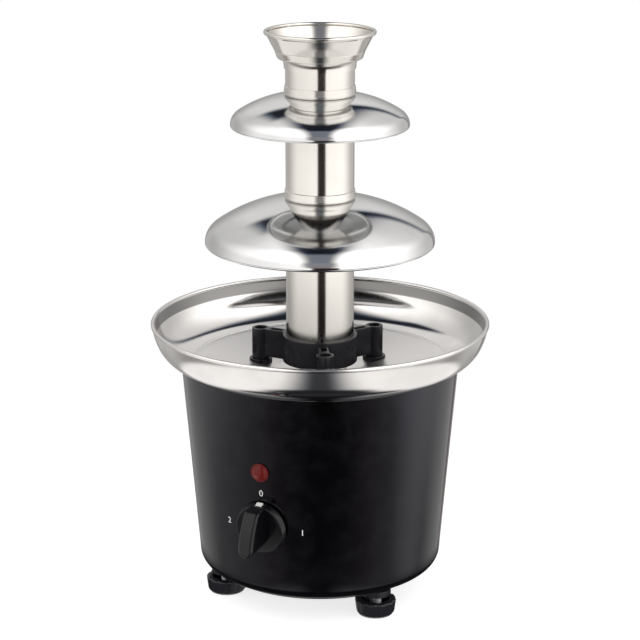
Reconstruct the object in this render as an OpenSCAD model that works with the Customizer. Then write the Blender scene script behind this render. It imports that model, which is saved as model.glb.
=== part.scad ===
// Table-top chocolate fountain: a heated bowl on a tapered body, and a tiered tower over a driven auger.
// Millimetres. The origin is on the table under the tower's axis, +Z is up and -Y is the control side.

/* [Body] */
// Outside diameter of the body at its top edge
body_top_d = 181.4; // [174:0.2:190]
// Outside diameter of the body at its underside, before the edge is rounded
body_base_d = 158.6; // [154:0.2:166]
// Height of the body from its underside to its top edge
body_h = 138.5; // [130:0.5:150]
// Sheet thickness of the body
body_wall = 0.8; // [0.6:0.1:1.2]
// Radius of the body's bottom edge
body_edge_r = 8.7; // [6:0.1:11]
// Height of the body's underside above the table
ground_gap = 18.2; // [17:0.1:24]
// Diameter of the opening in the body's underside
base_opening_d = 96; // [84:1:104]
// Diameter of the base plate
base_plate_d = 142; // [140:1:144]
// Thickness of the base plate
base_plate_t = 1.5; // [1:0.1:2]

/* [Bowl] */
// Diameter of the bowl over its rolled rim
bowl_d = 220; // [214:0.5:230]
// Diameter of the rolled rim
bowl_bead_d = 2.6; // [2:0.1:3.4]
// Sheet thickness of the bowl
bowl_wall = 0.8; // [0.6:0.1:1]
// Radius of the upper, flatter arc of the bowl's side
bowl_side_r = 47; // [44:0.5:52]
// Radius of the lower, tighter arc of the bowl's side
bowl_knee_r = 23; // [21:0.5:25]
// Slope of the bowl's floor towards the drive, in degrees
bowl_slope = 10; // [8:0.5:12]
// Diameter of the flat at the middle of the floor
bowl_flat_d = 60; // [57:1:66]

/* [Tower] */
// Outside diameter of the tower's tubes
tube_d = 44; // [43:0.2:46]
// Sheet thickness of the tubes, tiers and crown
tower_wall = 0.8; // [0.6:0.1:0.9]
// Length of the lower tube
lower_tube_l = 106.9; // [98:0.1:114]
// Length of the middle tube above its bead
middle_tube_l = 60.6; // [54:0.2:68]
// Length of the top tube above its bead
top_tube_l = 17; // [15:0.2:22]
// Height of the bead where one tube stands on the next
bead_h = 6.2; // [5:0.1:8]
// How far the bead stands out from the tube
bead_out = 1; // [0.4:0.1:1.2]
// Length of the spigot below each bead
spigot_l = 18; // [14:0.5:24]
// Diameter of the lower tier
lower_tier_d = 148.2; // [140:0.2:158]
// Radius of the lower tier's shoulder
lower_shoulder_r = 12.7; // [10:0.1:14]
// Radius of the lower tier's rolled edge
lower_edge_r = 1.9; // [1.5:0.1:2.2]
// Diameter of the upper tier
upper_tier_d = 114.2; // [108:0.2:124]
// Radius of the upper tier's shoulder
upper_shoulder_r = 9; // [7.5:0.1:10]
// Radius of the upper tier's rolled edge
upper_edge_r = 1.45; // [1.2:0.05:1.8]
// Length of the neck that holds a tier to its tube
tier_neck_l = 5; // [4:0.5:8]
// Diameter of the crown over its rolled rim
crown_d = 71.2; // [66:0.2:78]
// Height of the crown's cup
crown_h = 17.8; // [15:0.2:20]
// Diameter of the crown's cup at its foot
crown_foot_d = 54.8; // [53:0.2:58]
// Diameter of the crown's rolled rim
crown_bead_d = 2.6; // [2:0.1:3]

/* [Stand] */
// Height of the stand's ring
ring_h = 17.9; // [15:0.1:20]
// How far the ring stands above the arms and posts
ring_rise = 1.3; // [0.8:0.1:2]
// Wall of the stand's ring around the tube
ring_wall = 2.3; // [2:0.1:3]
// Thickness of the ledge that the lower tube stands on
ring_ledge_t = 1.5; // [1.2:0.1:2]
// Radius from the axis to each post
post_pitch_r = 43.5; // [41:0.5:46]
// Diameter of each post
post_d = 11.5; // [10.5:0.1:13]
// Height of each post
post_h = 20.6; // [19.5:0.1:24]
// Width of each arm
arm_w = 6.4; // [6:0.2:9]
// Height of each arm
arm_h = 19; // [15:0.1:19.5]
// Turn of the first post from the control side, in degrees
stand_turn = 30; // [25:1:35]
// Diameter of the locating pins
pin_d = 5; // [4.4:0.1:5.4]
// Height of the locating pins above their collars
pin_h = 13; // [10:0.5:16]
// Diameter of the collar under each post
collar_d = 15; // [13.5:0.1:16]

/* [Auger and drive] */
// Diameter of the auger over its flight
auger_d = 38.6; // [36:0.2:39.2]
// Diameter of the auger's core
auger_core_d = 12; // [11:0.2:13]
// Rise of the auger's flight in one turn
auger_pitch = 38; // [32:1:44]
// Thickness of the auger's flight
auger_flight_t = 2.2; // [1.6:0.1:3]
// Diameter of the drive shaft
shaft_d = 6; // [5.4:0.2:6.4]
// Length of the hexagonal driver on top of the shaft
driver_l = 18; // [14:1:22]
// Gear module
gear_module = 1; // [0.9:0.05:1]
// Teeth on each large gear
wheel_teeth = 48; // [44:4:52]
// Teeth on each pinion
pinion_teeth = 12; // [12:4:12]
// Face width of the gears
gear_w = 6; // [5:0.5:6.5]
// Diameter of the motor's can
motor_d = 52; // [50:1:56]
// Length of the motor's can
motor_l = 38; // [36:0.5:44]
// Diameter of the rotor's shaft
rotor_shaft_d = 5; // [4.4:0.2:5]
// Distance from the gearbox cover to the bowl
standoff_l = 10; // [9.5:0.5:14]

/* [Controls] */
// Height of the knob's centre above the table
knob_z = 68.5; // [64:0.5:74]
// Diameter of the knob's skirt
knob_d = 34; // [31:0.5:36]
// Height of the knob at the proud end of its grip
knob_h = 25.5; // [22:0.5:26]
// Height of the knob at the pointer's end of its grip
knob_low_h = 15; // [12:0.5:17]
// Width of the knob's grip
grip_w = 10; // [9:0.2:11]
// Height of the pilot lamp's centre above the table
lamp_z = 105.8; // [102:0.2:110]
// Diameter of the pilot lamp's lens
lamp_d = 12.2; // [11.4:0.2:13]
// Bore of the cord inlet
inlet_d = 7.2; // [6.4:0.2:7.6]
// Height of the cord inlet above the table
inlet_z = 42; // [38:1:48]

/* [Feet] */
// Radius from the axis to each foot
foot_pitch_r = 64; // [62:0.5:64]
// Turn of the feet from the control side, in degrees
foot_turn = 5; // [0:1:8]
// Half of the angle between the two front feet, in degrees
foot_spread = 55; // [52:1:60]
// Diameter of a foot's knob
foot_d = 27; // [25:0.2:28]
// Diameter of a foot's pad
pad_d = 23.8; // [22:0.2:24.2]
// Height of a foot's knob, without its pad
foot_h = 9; // [7:0.1:9.5]
// Thickness of a foot's pad
pad_t = 1; // [0.8:0.1:1.5]
// Diameter of a foot's stud
stud_d = 8; // [7:0.2:8.4]

/* [Clearances] */
// Gap between fixed pieces that seat in each other
fit_gap = 0.05; // [0.02:0.01:0.1]
// Radial gap of what turns or travels in a bore
run_gap = 0.05; // [0.02:0.01:0.09]
// Radial gap of what lifts off
lift_gap = 0.15; // [0.1:0.01:0.25]

/* [Hidden] */
$fn = 64;

// Colours
gloss_black = [0.02, 0.02, 0.025];
moulded_black = [0.05, 0.05, 0.055];
steel = [0.76, 0.75, 0.73];
zinc = [0.65, 0.66, 0.68];
brass = [0.78, 0.62, 0.3];
lamp_red = [0.5, 0.05, 0.05];
pale = [0.92, 0.92, 0.9];

// Body
body_top_r = body_top_d / 2;
body_base_r = body_base_d / 2;
body_top_z = ground_gap + body_h;
body_tilt = atan((body_top_r - body_base_r) / body_h);
function body_r(z) = body_base_r + (z - ground_gap) * tan(body_tilt);
base_low_z = ground_gap - base_plate_t;

// Points on an arc about c, with angles from +X
function arc(c, r, from, to, steps) =
    [for (i = [0:steps]) let (a = from + (to - from) * i / steps) c + r * [cos(a), sin(a)]];
function at(r, a) = [r * cos(a), r * sin(a)];

// Bowl: the outside of its section runs from the rim down an upper arc, a knee and a cone to the flat
bowl_r = bowl_d / 2;
bead_r = bowl_bead_d / 2;
rim_slope = 10;
side_slope = 24;
knee_slope = 90 - bowl_slope;
bead_c = [bowl_r - bead_r, 0];
rim_start = bead_c + at(bead_r, -60);
side_c = rim_start - at(bowl_side_r, -rim_slope);
knee_c = side_c + at(bowl_side_r - bowl_knee_r, -side_slope);
knee_end = knee_c + at(bowl_knee_r, -knee_slope);
flat_drop = -knee_end.y + (knee_end.x - bowl_flat_d / 2) * tan(bowl_slope);
function knee_at(r) = acos((r - knee_c.x) / bowl_knee_r);
function bowl_drop(r) =
    r > knee_end.x ? bowl_knee_r * sin(knee_at(r)) - knee_c.y
                   : -knee_end.y + (knee_end.x - max(r, bowl_flat_d / 2)) * tan(bowl_slope);
// The body's top edge carries the bowl at its inner corner
rim_z = body_top_z + bowl_drop(body_top_r - body_wall) + fit_gap;
function bowl_under(r) = rim_z - bowl_drop(r);
function bowl_floor(r) = bowl_under(r) + bowl_wall / cos(bowl_slope);
flat_z = rim_z - flat_drop;
well_z = flat_z + bowl_wall;

// Stand and tower levels
collar_rise = 0.8;
post_foot_z = bowl_floor(post_pitch_r + collar_d / 2) + collar_rise;
stand_top_z = post_foot_z + post_h;
ring_low_z = stand_top_z + ring_rise - ring_h;
tube_r = tube_d / 2;
tube_bore_r = tube_r - tower_wall;
spigot_r = tube_bore_r - lift_gap;
lower_tube_z = ring_low_z + ring_ledge_t;
lower_hub_z = lower_tube_z + lower_tube_l;
middle_tube_z = lower_hub_z + bead_h;
upper_hub_z = middle_tube_z + middle_tube_l;
top_tube_z = upper_hub_z + bead_h;
crown_z = top_tube_z + top_tube_l;
post_angles = [for (i = [0:2]) stand_turn + 120 * i - 90];

// Drive levels, from the bowl down
cover_t = 2;
cover_top_z = flat_z - standoff_l;
cover_z = cover_top_z - cover_t;
gearbox_room = 2 * gear_w + 6;
gearbox_wall = 4;
gearbox_floor_t = 2;
gearbox_z = cover_z - gearbox_room - gearbox_floor_t;
level_gap = 1;
low_gear_z = gearbox_z + gearbox_floor_t + 1.5;
high_gear_z = low_gear_z + gear_w + 2 * level_gap;
motor_z = gearbox_z - motor_l;
gear_centres = gear_module * (wheel_teeth + pinion_teeth) / 2;
wheel_tip_r = gear_module * (wheel_teeth / 2 + 0.9);
gearbox_bore_r = wheel_tip_r + 2;
shaft_r = shaft_d / 2;
rotor_shaft_r = rotor_shaft_d / 2;
axle_r = 2;
seal_flange_t = 1.4;
seal_flange_r = 9;
seal_neck_r = 6;
washer_t = 1;
washer_r = 7;
washer_z = well_z + seal_flange_t + run_gap;
auger_z = washer_z + washer_t;
lead_in_h = 1;
driver_z = auger_z + lead_in_h;
auger_top_z = crown_z - 2;

// Feet
foot_angles = [foot_turn - foot_spread - 90, foot_turn + foot_spread - 90, foot_turn + 90];
foot_top_z = pad_t + foot_h;
insert_flange_t = 2.6;
insert_neck_r = stud_d / 2 + 1.6;
insert_flange_r = insert_neck_r + 0.8;
insert_flange_z = ground_gap + body_wall;
insert_top_z = insert_flange_z + 5;
rod_r = 2.5;
rod_edge = 5;
rod_pitch_r = base_plate_d / 2 - rod_edge;

// Runs children round the axis at each angle
module around(angles, r) {
    for (a = angles) rotate([0, 0, a]) translate([r, 0, 0]) children();
}

// Puts children on the body's wall at height z, with their +Z straight out of it and their +Y up
module on_wall(z, back = false) {
    rotate([0, 0, back ? 180 : 0])
        translate([0, -body_r(z), z])
            rotate([90 + body_tilt, 0, 0])
                children();
}

// A ring with a square section
module ring(outer_r, bore_r, z, h) {
    translate([0, 0, z])
        difference() {
            cylinder(r = outer_r, h = h);
            translate([0, 0, -1]) cylinder(r = bore_r, h = h + 2);
        }
}

// An outline with round ends, from the axis to a second centre along +Y
module oblong(r, pitch) {
    polygon(concat(arc([0, 0], r, 180, 360, 32), arc([0, pitch], r, 0, 180, 32)));
}

// Gears: involute flanks on a polygon, with backlash
tooth_up = 0.9;
tooth_down = 1.2;
backlash = 0.12;
pressure = 20;
flank_steps = 4;
function involute(base_r, r) = let (t = sqrt(max(0, r * r / base_r / base_r - 1))) t * 180 / PI - atan(t);
function tooth_half(teeth, r) =
    let (pitch_r = gear_module * teeth / 2, base_r = pitch_r * cos(pressure))
    90 / teeth * (1 - backlash) + involute(base_r, pitch_r) - involute(base_r, max(r, base_r));
function gear_outline(teeth) =
    let (
        root_r = gear_module * (teeth / 2 - tooth_down),
        tip_r = gear_module * (teeth / 2 + tooth_up),
        radii = [for (i = [0:flank_steps]) root_r + (tip_r - root_r) * i / flank_steps]
    )
    [for (k = [0:teeth - 1]) each concat(
        [for (r = radii) at(r, 360 * k / teeth - tooth_half(teeth, r))],
        [for (i = [flank_steps:-1:0]) at(radii[i], 360 * k / teeth + tooth_half(teeth, radii[i]))]
    )];

module gear(teeth, z, h, bore_r, turn = 0) {
    translate([0, 0, z])
        rotate([0, 0, turn])
            difference() {
                linear_extrude(h) polygon(gear_outline(teeth));
                translate([0, 0, -1]) cylinder(r = bore_r, h = h + 2);
            }
}

// Body
body_edge_c = [body_base_r - body_edge_r * (1 - sin(body_tilt)) / cos(body_tilt), ground_gap + body_edge_r];
lamp_hole_r = lamp_d / 2 - 1;
switch_bush_r = 4.5;
inlet_neck_r = inlet_d / 2 + 2.6;

module body_shell() {
    color(gloss_black)
        difference() {
            rotate_extrude($fn = 128) polygon(concat(
                [[base_opening_d / 2, ground_gap]],
                arc(body_edge_c, body_edge_r, -90, -body_tilt, 12),
                [[body_top_r, body_top_z], [body_top_r - body_wall, body_top_z]],
                arc(body_edge_c, body_edge_r - body_wall, -body_tilt, -90, 12),
                [[base_opening_d / 2, ground_gap + body_wall]]
            ));
            on_wall(lamp_z) translate([0, 0, -5]) cylinder(r = lamp_hole_r, h = 10);
            on_wall(knob_z) translate([0, 0, -5]) cylinder(r = switch_bush_r + fit_gap, h = 10);
            on_wall(inlet_z, back = true) translate([0, 0, -5]) cylinder(r = inlet_neck_r + fit_gap, h = 10);
            base_holes();
        }
}

// The holes that the foot inserts and tie rods share in the base plate and the body's underside
module base_holes() {
    translate([0, 0, base_low_z - 1]) {
        around(foot_angles, foot_pitch_r) cylinder(r = insert_neck_r + fit_gap, h = 5);
        around(post_angles, rod_pitch_r) cylinder(r = rod_r + fit_gap, h = 5);
    }
}

vent_w = 4;
vent_l = 20;
vent_count = 12;
boss_r = 10;
foot_room = 3.3;
boss_low_z = foot_top_z + foot_room;

module base_plate() {
    color(moulded_black)
        difference() {
            union() {
                translate([0, 0, base_low_z]) cylinder(d = base_plate_d, h = base_plate_t);
                translate([0, 0, boss_low_z])
                    around(foot_angles, foot_pitch_r)
                        cylinder(r = boss_r, h = base_low_z + base_plate_t / 2 - boss_low_z);
            }
            base_holes();
            translate([0, 0, boss_low_z - 1])
                around(foot_angles, foot_pitch_r)
                    cylinder(r = insert_neck_r + fit_gap, h = base_low_z - boss_low_z + 2);
            for (i = [0:vent_count - 1])
                rotate([0, 0, 360 * i / vent_count])
                    translate([base_opening_d / 2 - vent_l - 4, -vent_w / 2, base_low_z - 1])
                        cube([vent_l, vent_w, base_plate_t + 2]);
        }
}

module foot_inserts() {
    color(zinc)
        around(foot_angles, foot_pitch_r)
            difference() {
                union() {
                    translate([0, 0, insert_flange_z]) cylinder(r = insert_flange_r, h = insert_flange_t);
                    translate([0, 0, base_low_z]) cylinder(r = insert_neck_r, h = insert_top_z - base_low_z);
                }
                translate([0, 0, base_low_z - 1])
                    cylinder(r = stud_d / 2 + run_gap, h = insert_top_z - base_low_z + 2);
            }
}

rod_top_z = bowl_under(rod_pitch_r - rod_r);
nut_h = 4;
nut_r = 4.5;
nut_z = ground_gap + body_wall;

module tie_rods() {
    color(zinc)
        around(post_angles, rod_pitch_r)
            translate([0, 0, base_low_z]) cylinder(r = rod_r, h = rod_top_z - base_low_z);
}

module tie_nuts() {
    color(zinc)
        around(post_angles, rod_pitch_r)
            difference() {
                translate([0, 0, nut_z]) cylinder(r = nut_r, h = nut_h, $fn = 6);
                translate([0, 0, nut_z - 1]) cylinder(r = rod_r, h = nut_h + 2);
            }
}

// Bowl
function bowl_outside() = concat(
    arc(side_c, bowl_side_r, -rim_slope, -side_slope, 8),
    arc(knee_c, bowl_knee_r, -side_slope, -knee_slope, 16),
    [[bowl_flat_d / 2, -flat_drop]]
);
inside_slope = asin((side_c.y + 1.25 * bead_r) / (bowl_side_r - bowl_wall));
function bowl_inside() = concat(
    [[bowl_flat_d / 2 - bowl_wall * tan(bowl_slope / 2), -flat_drop + bowl_wall]],
    arc(knee_c, bowl_knee_r - bowl_wall, -knee_slope, -side_slope, 16),
    arc(side_c, bowl_side_r - bowl_wall, -side_slope, -inside_slope, 8)
);

module bowl() {
    color(steel)
        difference() {
            translate([0, 0, rim_z])
                rotate_extrude($fn = 128) polygon(concat(
                    [[seal_neck_r + fit_gap, -flat_drop + bowl_wall]],
                    bowl_inside(),
                    arc(bead_c, bead_r, 240, -60, 20),
                    bowl_outside(),
                    [[seal_neck_r + fit_gap, -flat_drop]]
                ));
            around(post_angles, post_pitch_r)
                translate([0, 0, bowl_under(post_pitch_r) - 5]) cylinder(d = pin_d + 2 * fit_gap, h = 10);
        }
}

// Everything under the bowl's floor near a post, to shape what seats on the slope
module floor_cone(z_shift) {
    translate([0, 0, z_shift])
        rotate_extrude() polygon([
            [bowl_flat_d / 2, flat_z - 20], [knee_end.x, flat_z - 20],
            [knee_end.x, rim_z + knee_end.y], [bowl_flat_d / 2, flat_z]
        ]);
}

pin_low_z = bowl_under(post_pitch_r) - 4;

module stand_pins() {
    color(steel)
        around(post_angles, post_pitch_r)
            translate([0, 0, pin_low_z]) cylinder(d = pin_d, h = post_foot_z + pin_h - pin_low_z);
}

module pin_collars() {
    collar_low_z = bowl_floor(post_pitch_r - collar_d / 2);
    color(steel)
        difference() {
            around(post_angles, post_pitch_r)
                difference() {
                    translate([0, 0, collar_low_z]) cylinder(d = collar_d, h = post_foot_z - collar_low_z);
                    translate([0, 0, collar_low_z - 1])
                        cylinder(d = pin_d + 2 * fit_gap, h = post_foot_z - collar_low_z + 2);
                }
            floor_cone(bowl_wall / cos(bowl_slope));
        }
}

module shaft_seal() {
    color(moulded_black)
        difference() {
            union() {
                translate([0, 0, well_z]) cylinder(r = seal_flange_r, h = seal_flange_t);
                translate([0, 0, flat_z]) cylinder(r = seal_neck_r, h = bowl_wall);
                translate([0, 0, flat_z - seal_flange_t]) cylinder(r = seal_flange_r, h = seal_flange_t);
            }
            translate([0, 0, flat_z - seal_flange_t - 1])
                cylinder(r = shaft_r + run_gap, h = bowl_wall + 2 * seal_flange_t + 2);
        }
}

// Heating
heater_r = 3.3;
heater_rod_gap = 2.2;
heater_pitch_r = rod_pitch_r - rod_r - heater_rod_gap - heater_r;
heater_turn = 300;
heater_z = bowl_under(heater_pitch_r) - (heater_r + fit_gap) / cos(bowl_slope);
heater_pin_l = 16;
heater_pin_r = 1.6;
// The open part of the ring faces the back, with a cold pin a little way in from each end
heater_open = (360 - heater_turn) / 2;
heater_pin_in = 4;
heater_pin_angles = [90 - heater_open - heater_pin_in, 90 + heater_open + heater_pin_in];

module heater_element() {
    color(zinc) {
        translate([0, 0, heater_z])
            rotate([0, 0, 90 + heater_open])
                rotate_extrude(angle = heater_turn)
                    translate([heater_pitch_r, 0]) circle(r = heater_r, $fn = 32);
        around(heater_pin_angles, heater_pitch_r)
            translate([0, 0, heater_z - heater_pin_l]) cylinder(r = heater_pin_r, h = heater_pin_l);
    }
}

strap_angles = [20, 150, 240];
strap_w = 9;
strap_t = 1.2;
strap_pin_r = 1.5;
strap_reach = heater_r + strap_pin_r + 1;

module heater_straps() {
    strap_top_z = heater_z - heater_r - fit_gap;
    color(zinc)
        for (a = strap_angles)
            rotate([0, 0, a])
                translate([heater_pitch_r, 0, 0]) {
                    translate([-strap_reach - 2.5, -strap_w / 2, strap_top_z - strap_t])
                        cube([2 * strap_reach + 5, strap_w, strap_t]);
                    for (side = [-1, 1])
                        translate([side * strap_reach, 0, strap_top_z - strap_t / 2])
                            cylinder(
                                r = strap_pin_r,
                                h = bowl_under(heater_pitch_r + side * strap_reach - strap_pin_r)
                                    - strap_top_z + strap_t / 2
                            );
                }
}

cutout_pitch_r = 41;
cutout_r = 8;
cutout_h = 9;
cutout_tab_w = 6;
cutout_tab_t = 0.8;
cutout_tab_l = 7;
// The flat top of the cut-out clears the cone by the cone's rise across it
cutout_gap = fit_gap + cutout_r * cutout_r * sin(bowl_slope) / (2 * cutout_pitch_r);

module thermal_cutout() {
    color(moulded_black)
        translate([cutout_pitch_r, 0, bowl_under(cutout_pitch_r)])
            rotate([0, -bowl_slope, 0])
                translate([0, 0, -cutout_gap])
                    translate([0, 0, -cutout_h]) {
                        cylinder(r = cutout_r, h = cutout_h);
                        for (side = [-1, 1])
                            translate([0, side * cutout_r / 2, 0])
                                translate([-cutout_tab_t / 2, -cutout_tab_w / 2, -cutout_tab_l])
                                    cube([cutout_tab_t, cutout_tab_w, cutout_tab_l + 1]);
                    }
}

// Gear motor
standoff_r = 3.5;
standoff_pitch_r = 22;

module motor_standoffs() {
    color(zinc)
        around(post_angles, standoff_pitch_r)
            translate([0, 0, cover_top_z]) cylinder(r = standoff_r, h = standoff_l);
}

cover_boss_r = 7;
cover_boss_h = standoff_l - seal_flange_t - 1;
screw_r = 1.3;
screw_head_r = 2.4;
screw_head_h = 1.8;
gearbox_out_r = gearbox_bore_r + gearbox_wall;
screw_places = [for (x = [-1, 1], y = [0, gear_centres]) [x * (gearbox_bore_r + gearbox_wall / 2), y]];

module gearbox_cover() {
    color(zinc)
        difference() {
            union() {
                translate([0, 0, cover_z]) linear_extrude(cover_t) oblong(gearbox_out_r, gear_centres);
                translate([0, 0, cover_z]) cylinder(r = cover_boss_r, h = cover_t + cover_boss_h);
            }
            translate([0, 0, cover_z - 1]) cylinder(r = shaft_r + run_gap, h = cover_t + cover_boss_h + 2);
            for (p = screw_places) translate([p.x, p.y, cover_z - 1]) cylinder(r = screw_r, h = cover_t + 2);
        }
}

screw_l = 8;

module gearbox_case() {
    color(moulded_black)
        difference() {
            translate([0, 0, gearbox_z])
                linear_extrude(gearbox_floor_t + gearbox_room) oblong(gearbox_out_r, gear_centres);
            translate([0, 0, gearbox_z + gearbox_floor_t])
                linear_extrude(gearbox_room + 1) oblong(gearbox_bore_r, gear_centres);
            translate([0, 0, gearbox_z - 1]) cylinder(r = rotor_shaft_r + run_gap, h = gearbox_floor_t + 2);
            translate([0, gear_centres, gearbox_z - 1]) cylinder(r = axle_r, h = gearbox_floor_t + 2);
            for (p = screw_places)
                translate([p.x, p.y, cover_z - screw_l]) cylinder(r = screw_r, h = screw_l + 1);
        }
}

module gearbox_screws() {
    color(zinc)
        for (p = screw_places)
            translate([p.x, p.y, 0]) {
                translate([0, 0, cover_top_z]) cylinder(r = screw_head_r, h = screw_head_h);
                translate([0, 0, cover_z - screw_l]) cylinder(r = screw_r, h = screw_l + cover_t);
            }
}

module idler_axle() {
    color(steel) translate([0, gear_centres, gearbox_z]) cylinder(r = axle_r, h = cover_z - gearbox_z);
}

can_wall = 1.5;
stator_bore_r = 16;
rotor_gap = 0.6;
stator_l = 22;
stator_z = motor_z + (motor_l - stator_l) / 2;

module motor_can() {
    color(zinc)
        difference() {
            translate([0, 0, motor_z]) cylinder(d = motor_d, h = motor_l);
            translate([0, 0, motor_z + can_wall]) cylinder(d = motor_d - 2 * can_wall, h = motor_l);
            translate([0, 0, motor_z - 1]) cylinder(r = rotor_shaft_r + run_gap, h = can_wall + 2);
        }
}

module motor_stator() {
    color(brass) ring(motor_d / 2 - can_wall, stator_bore_r, stator_z, stator_l);
}

module rotor_core() {
    color(zinc) ring(stator_bore_r - rotor_gap, rotor_shaft_r, stator_z, stator_l);
}

module rotor_shaft() {
    color(steel)
        translate([0, 0, motor_z - 2]) cylinder(r = rotor_shaft_r, h = low_gear_z + gear_w - motor_z + 2);
}

module rotor_pinion() {
    color(brass) gear(pinion_teeth, low_gear_z, gear_w, rotor_shaft_r);
}

module idler_gear() {
    color(pale)
        translate([0, gear_centres, 0]) {
            gear(wheel_teeth, low_gear_z, gear_w, axle_r + run_gap, 180 / wheel_teeth);
            gear(
                pinion_teeth, low_gear_z + gear_w, high_gear_z - low_gear_z,
                axle_r + run_gap, 180 / pinion_teeth
            );
        }
}

module output_gear() {
    color(pale) gear(wheel_teeth, high_gear_z, gear_w, shaft_r);
}

driver_flat_r = shaft_r;

module drive_shaft() {
    color(steel) {
        translate([0, 0, high_gear_z]) cylinder(r = shaft_r, h = driver_z - high_gear_z);
        translate([0, 0, driver_z]) cylinder(r = driver_flat_r, h = driver_l, $fn = 6);
    }
}

module thrust_washer() {
    color(brass) ring(washer_r, shaft_r, washer_z, washer_t);
}

// Auger
module auger_core() {
    color(pale)
        translate([0, 0, auger_z])
            difference() {
                cylinder(d = auger_core_d, h = auger_top_z - auger_z);
                translate([0, 0, -1]) cylinder(r = driver_flat_r + lift_gap, h = driver_l + 3, $fn = 6);
                // A round lead-in takes the shaft below its driver
                translate([0, 0, -1]) cylinder(r = shaft_r + lift_gap, h = 1 + lead_in_h + lift_gap);
            }
}

flight_steps = 24;
flight_low_z = auger_z + 2;
flight_high_z = auger_top_z - 2;

// The flight is one ribbon: each ring of four corners is a cut through it
module auger_flight() {
    root_r = (auger_core_d / 2 + 0.01) / cos(180 / flight_steps);
    tip_r = auger_d / 2;
    turns = (flight_high_z - flight_low_z - auger_flight_t) / auger_pitch;
    cuts = ceil(turns * flight_steps);
    corners = [for (i = [0:cuts]) let (
        a = 360 * turns * i / cuts,
        low = flight_low_z + auger_pitch * turns * i / cuts,
        high = low + auger_flight_t
    ) each [
        [root_r * cos(a), root_r * sin(a), low], [tip_r * cos(a), tip_r * sin(a), low],
        [tip_r * cos(a), tip_r * sin(a), high], [root_r * cos(a), root_r * sin(a), high]
    ]];
    sides = [for (i = [0:cuts - 1], k = [0:3]) let (
        p = 4 * i + k, q = 4 * i + (k + 1) % 4
    ) each [[p, q + 4, q], [p, p + 4, q + 4]]];
    last = 4 * cuts;
    color(pale)
        polyhedron(corners, concat(
            sides, [[0, 1, 2], [0, 2, 3], [last, last + 2, last + 1], [last, last + 3, last + 2]]
        ));
}

// Tower
ring_r = tube_r + fit_gap + ring_wall;
arm_slot_w = 3.4;
arm_slot_depth = 6;
post_dimple_d = 7.6;
post_dimple_h = 4;

module tower_stand() {
    arm_from = ring_r - ring_wall / 2;
    slot_from = ring_r + 3;
    slot_to = post_pitch_r - post_d / 2 - 2;
    color(moulded_black)
        difference() {
            union() {
                translate([0, 0, ring_low_z]) cylinder(r = ring_r, h = ring_h);
                around(post_angles, post_pitch_r)
                    translate([0, 0, post_foot_z]) cylinder(d = post_d, h = post_h);
                around(post_angles, arm_from)
                    translate([0, -arm_w / 2, stand_top_z - arm_h])
                        cube([post_pitch_r - arm_from, arm_w, arm_h]);
            }
            translate([0, 0, lower_tube_z]) cylinder(r = tube_r + fit_gap, h = ring_h);
            translate([0, 0, ring_low_z - 1]) cylinder(r = tube_bore_r, h = ring_h);
            around(post_angles, post_pitch_r) {
                translate([0, 0, post_foot_z - 1]) cylinder(r = pin_d / 2 + lift_gap, h = pin_h + 2);
                translate([0, 0, stand_top_z - post_dimple_h])
                    cylinder(d = post_dimple_d, h = post_dimple_h + 1);
            }
            around(post_angles, 0)
                translate([slot_from, -arm_slot_w / 2, stand_top_z - arm_slot_depth])
                    cube([slot_to - slot_from, arm_slot_w, arm_slot_depth + 1]);
        }
}

module lower_tube() {
    color(steel) ring(tube_r, tube_bore_r, lower_tube_z, lower_tube_l);
}

// A tier: two arcs from its hub to a rolled edge, and a neck round the tube
hub_slope = 6.7;
module tier(hub_z, d, shoulder_r, edge_r, crown_slope) {
    hub_r = tube_r + fit_gap;
    edge_x = d / 2;
    dome_r = (edge_x - hub_r - shoulder_r * (1 - sin(crown_slope))) / (sin(crown_slope) - sin(hub_slope));
    dome_c = [hub_r, hub_z] - at(dome_r, 90 - hub_slope);
    shoulder_c = dome_c + at(dome_r - shoulder_r, 90 - crown_slope);
    edge_c = [edge_x - edge_r, shoulder_c.y];
    under_from = asin(min(0.9, 1.1 * edge_r / (shoulder_r - tower_wall)));
    neck_r = hub_r + tower_wall;
    under_hub = acos((neck_r - dome_c.x) / (dome_r - tower_wall));
    color(steel)
        rotate_extrude($fn = 128) polygon(concat(
            [[hub_r, hub_z - tier_neck_l]],
            arc(dome_c, dome_r, 90 - hub_slope, 90 - crown_slope, 20),
            arc(shoulder_c, shoulder_r, 90 - crown_slope, 0, 14),
            arc(edge_c, edge_r, 0, -250, 20),
            arc(shoulder_c, shoulder_r - tower_wall, under_from, 90 - crown_slope, 12),
            arc(dome_c, dome_r - tower_wall, 90 - crown_slope, under_hub, 20),
            [[neck_r, hub_z - tier_neck_l]]
        ));
}

lower_crown_slope = 35;
upper_crown_slope = 33.5;

module lower_tier() {
    tier(lower_hub_z, lower_tier_d, lower_shoulder_r, lower_edge_r, lower_crown_slope);
}

module upper_tier() {
    tier(upper_hub_z, upper_tier_d, upper_shoulder_r, upper_edge_r, upper_crown_slope);
}

// A tube with a bead at its foot, which stands on the tube below, and a spigot that goes into it
module beaded_tube(z, l) {
    bead_z = z - bead_h;
    swell_r = (bead_out * bead_out + bead_h * bead_h / 4) / (2 * bead_out);
    swell_c = [tube_r + bead_out - swell_r, bead_z + bead_h / 2];
    swell = asin(bead_h / 2 / swell_r);
    color(steel)
        rotate_extrude($fn = 96) polygon(concat(
            [[spigot_r - tower_wall, bead_z - spigot_l], [spigot_r, bead_z - spigot_l], [spigot_r, bead_z]],
            arc(swell_c, swell_r, -swell, swell, 12),
            [[tube_r, z + l], [tube_bore_r, z + l], [tube_bore_r, z], [spigot_r - tower_wall, bead_z]]
        ));
}

module middle_tube() { beaded_tube(middle_tube_z, middle_tube_l); }
module top_tube() { beaded_tube(top_tube_z, top_tube_l); }

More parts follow.
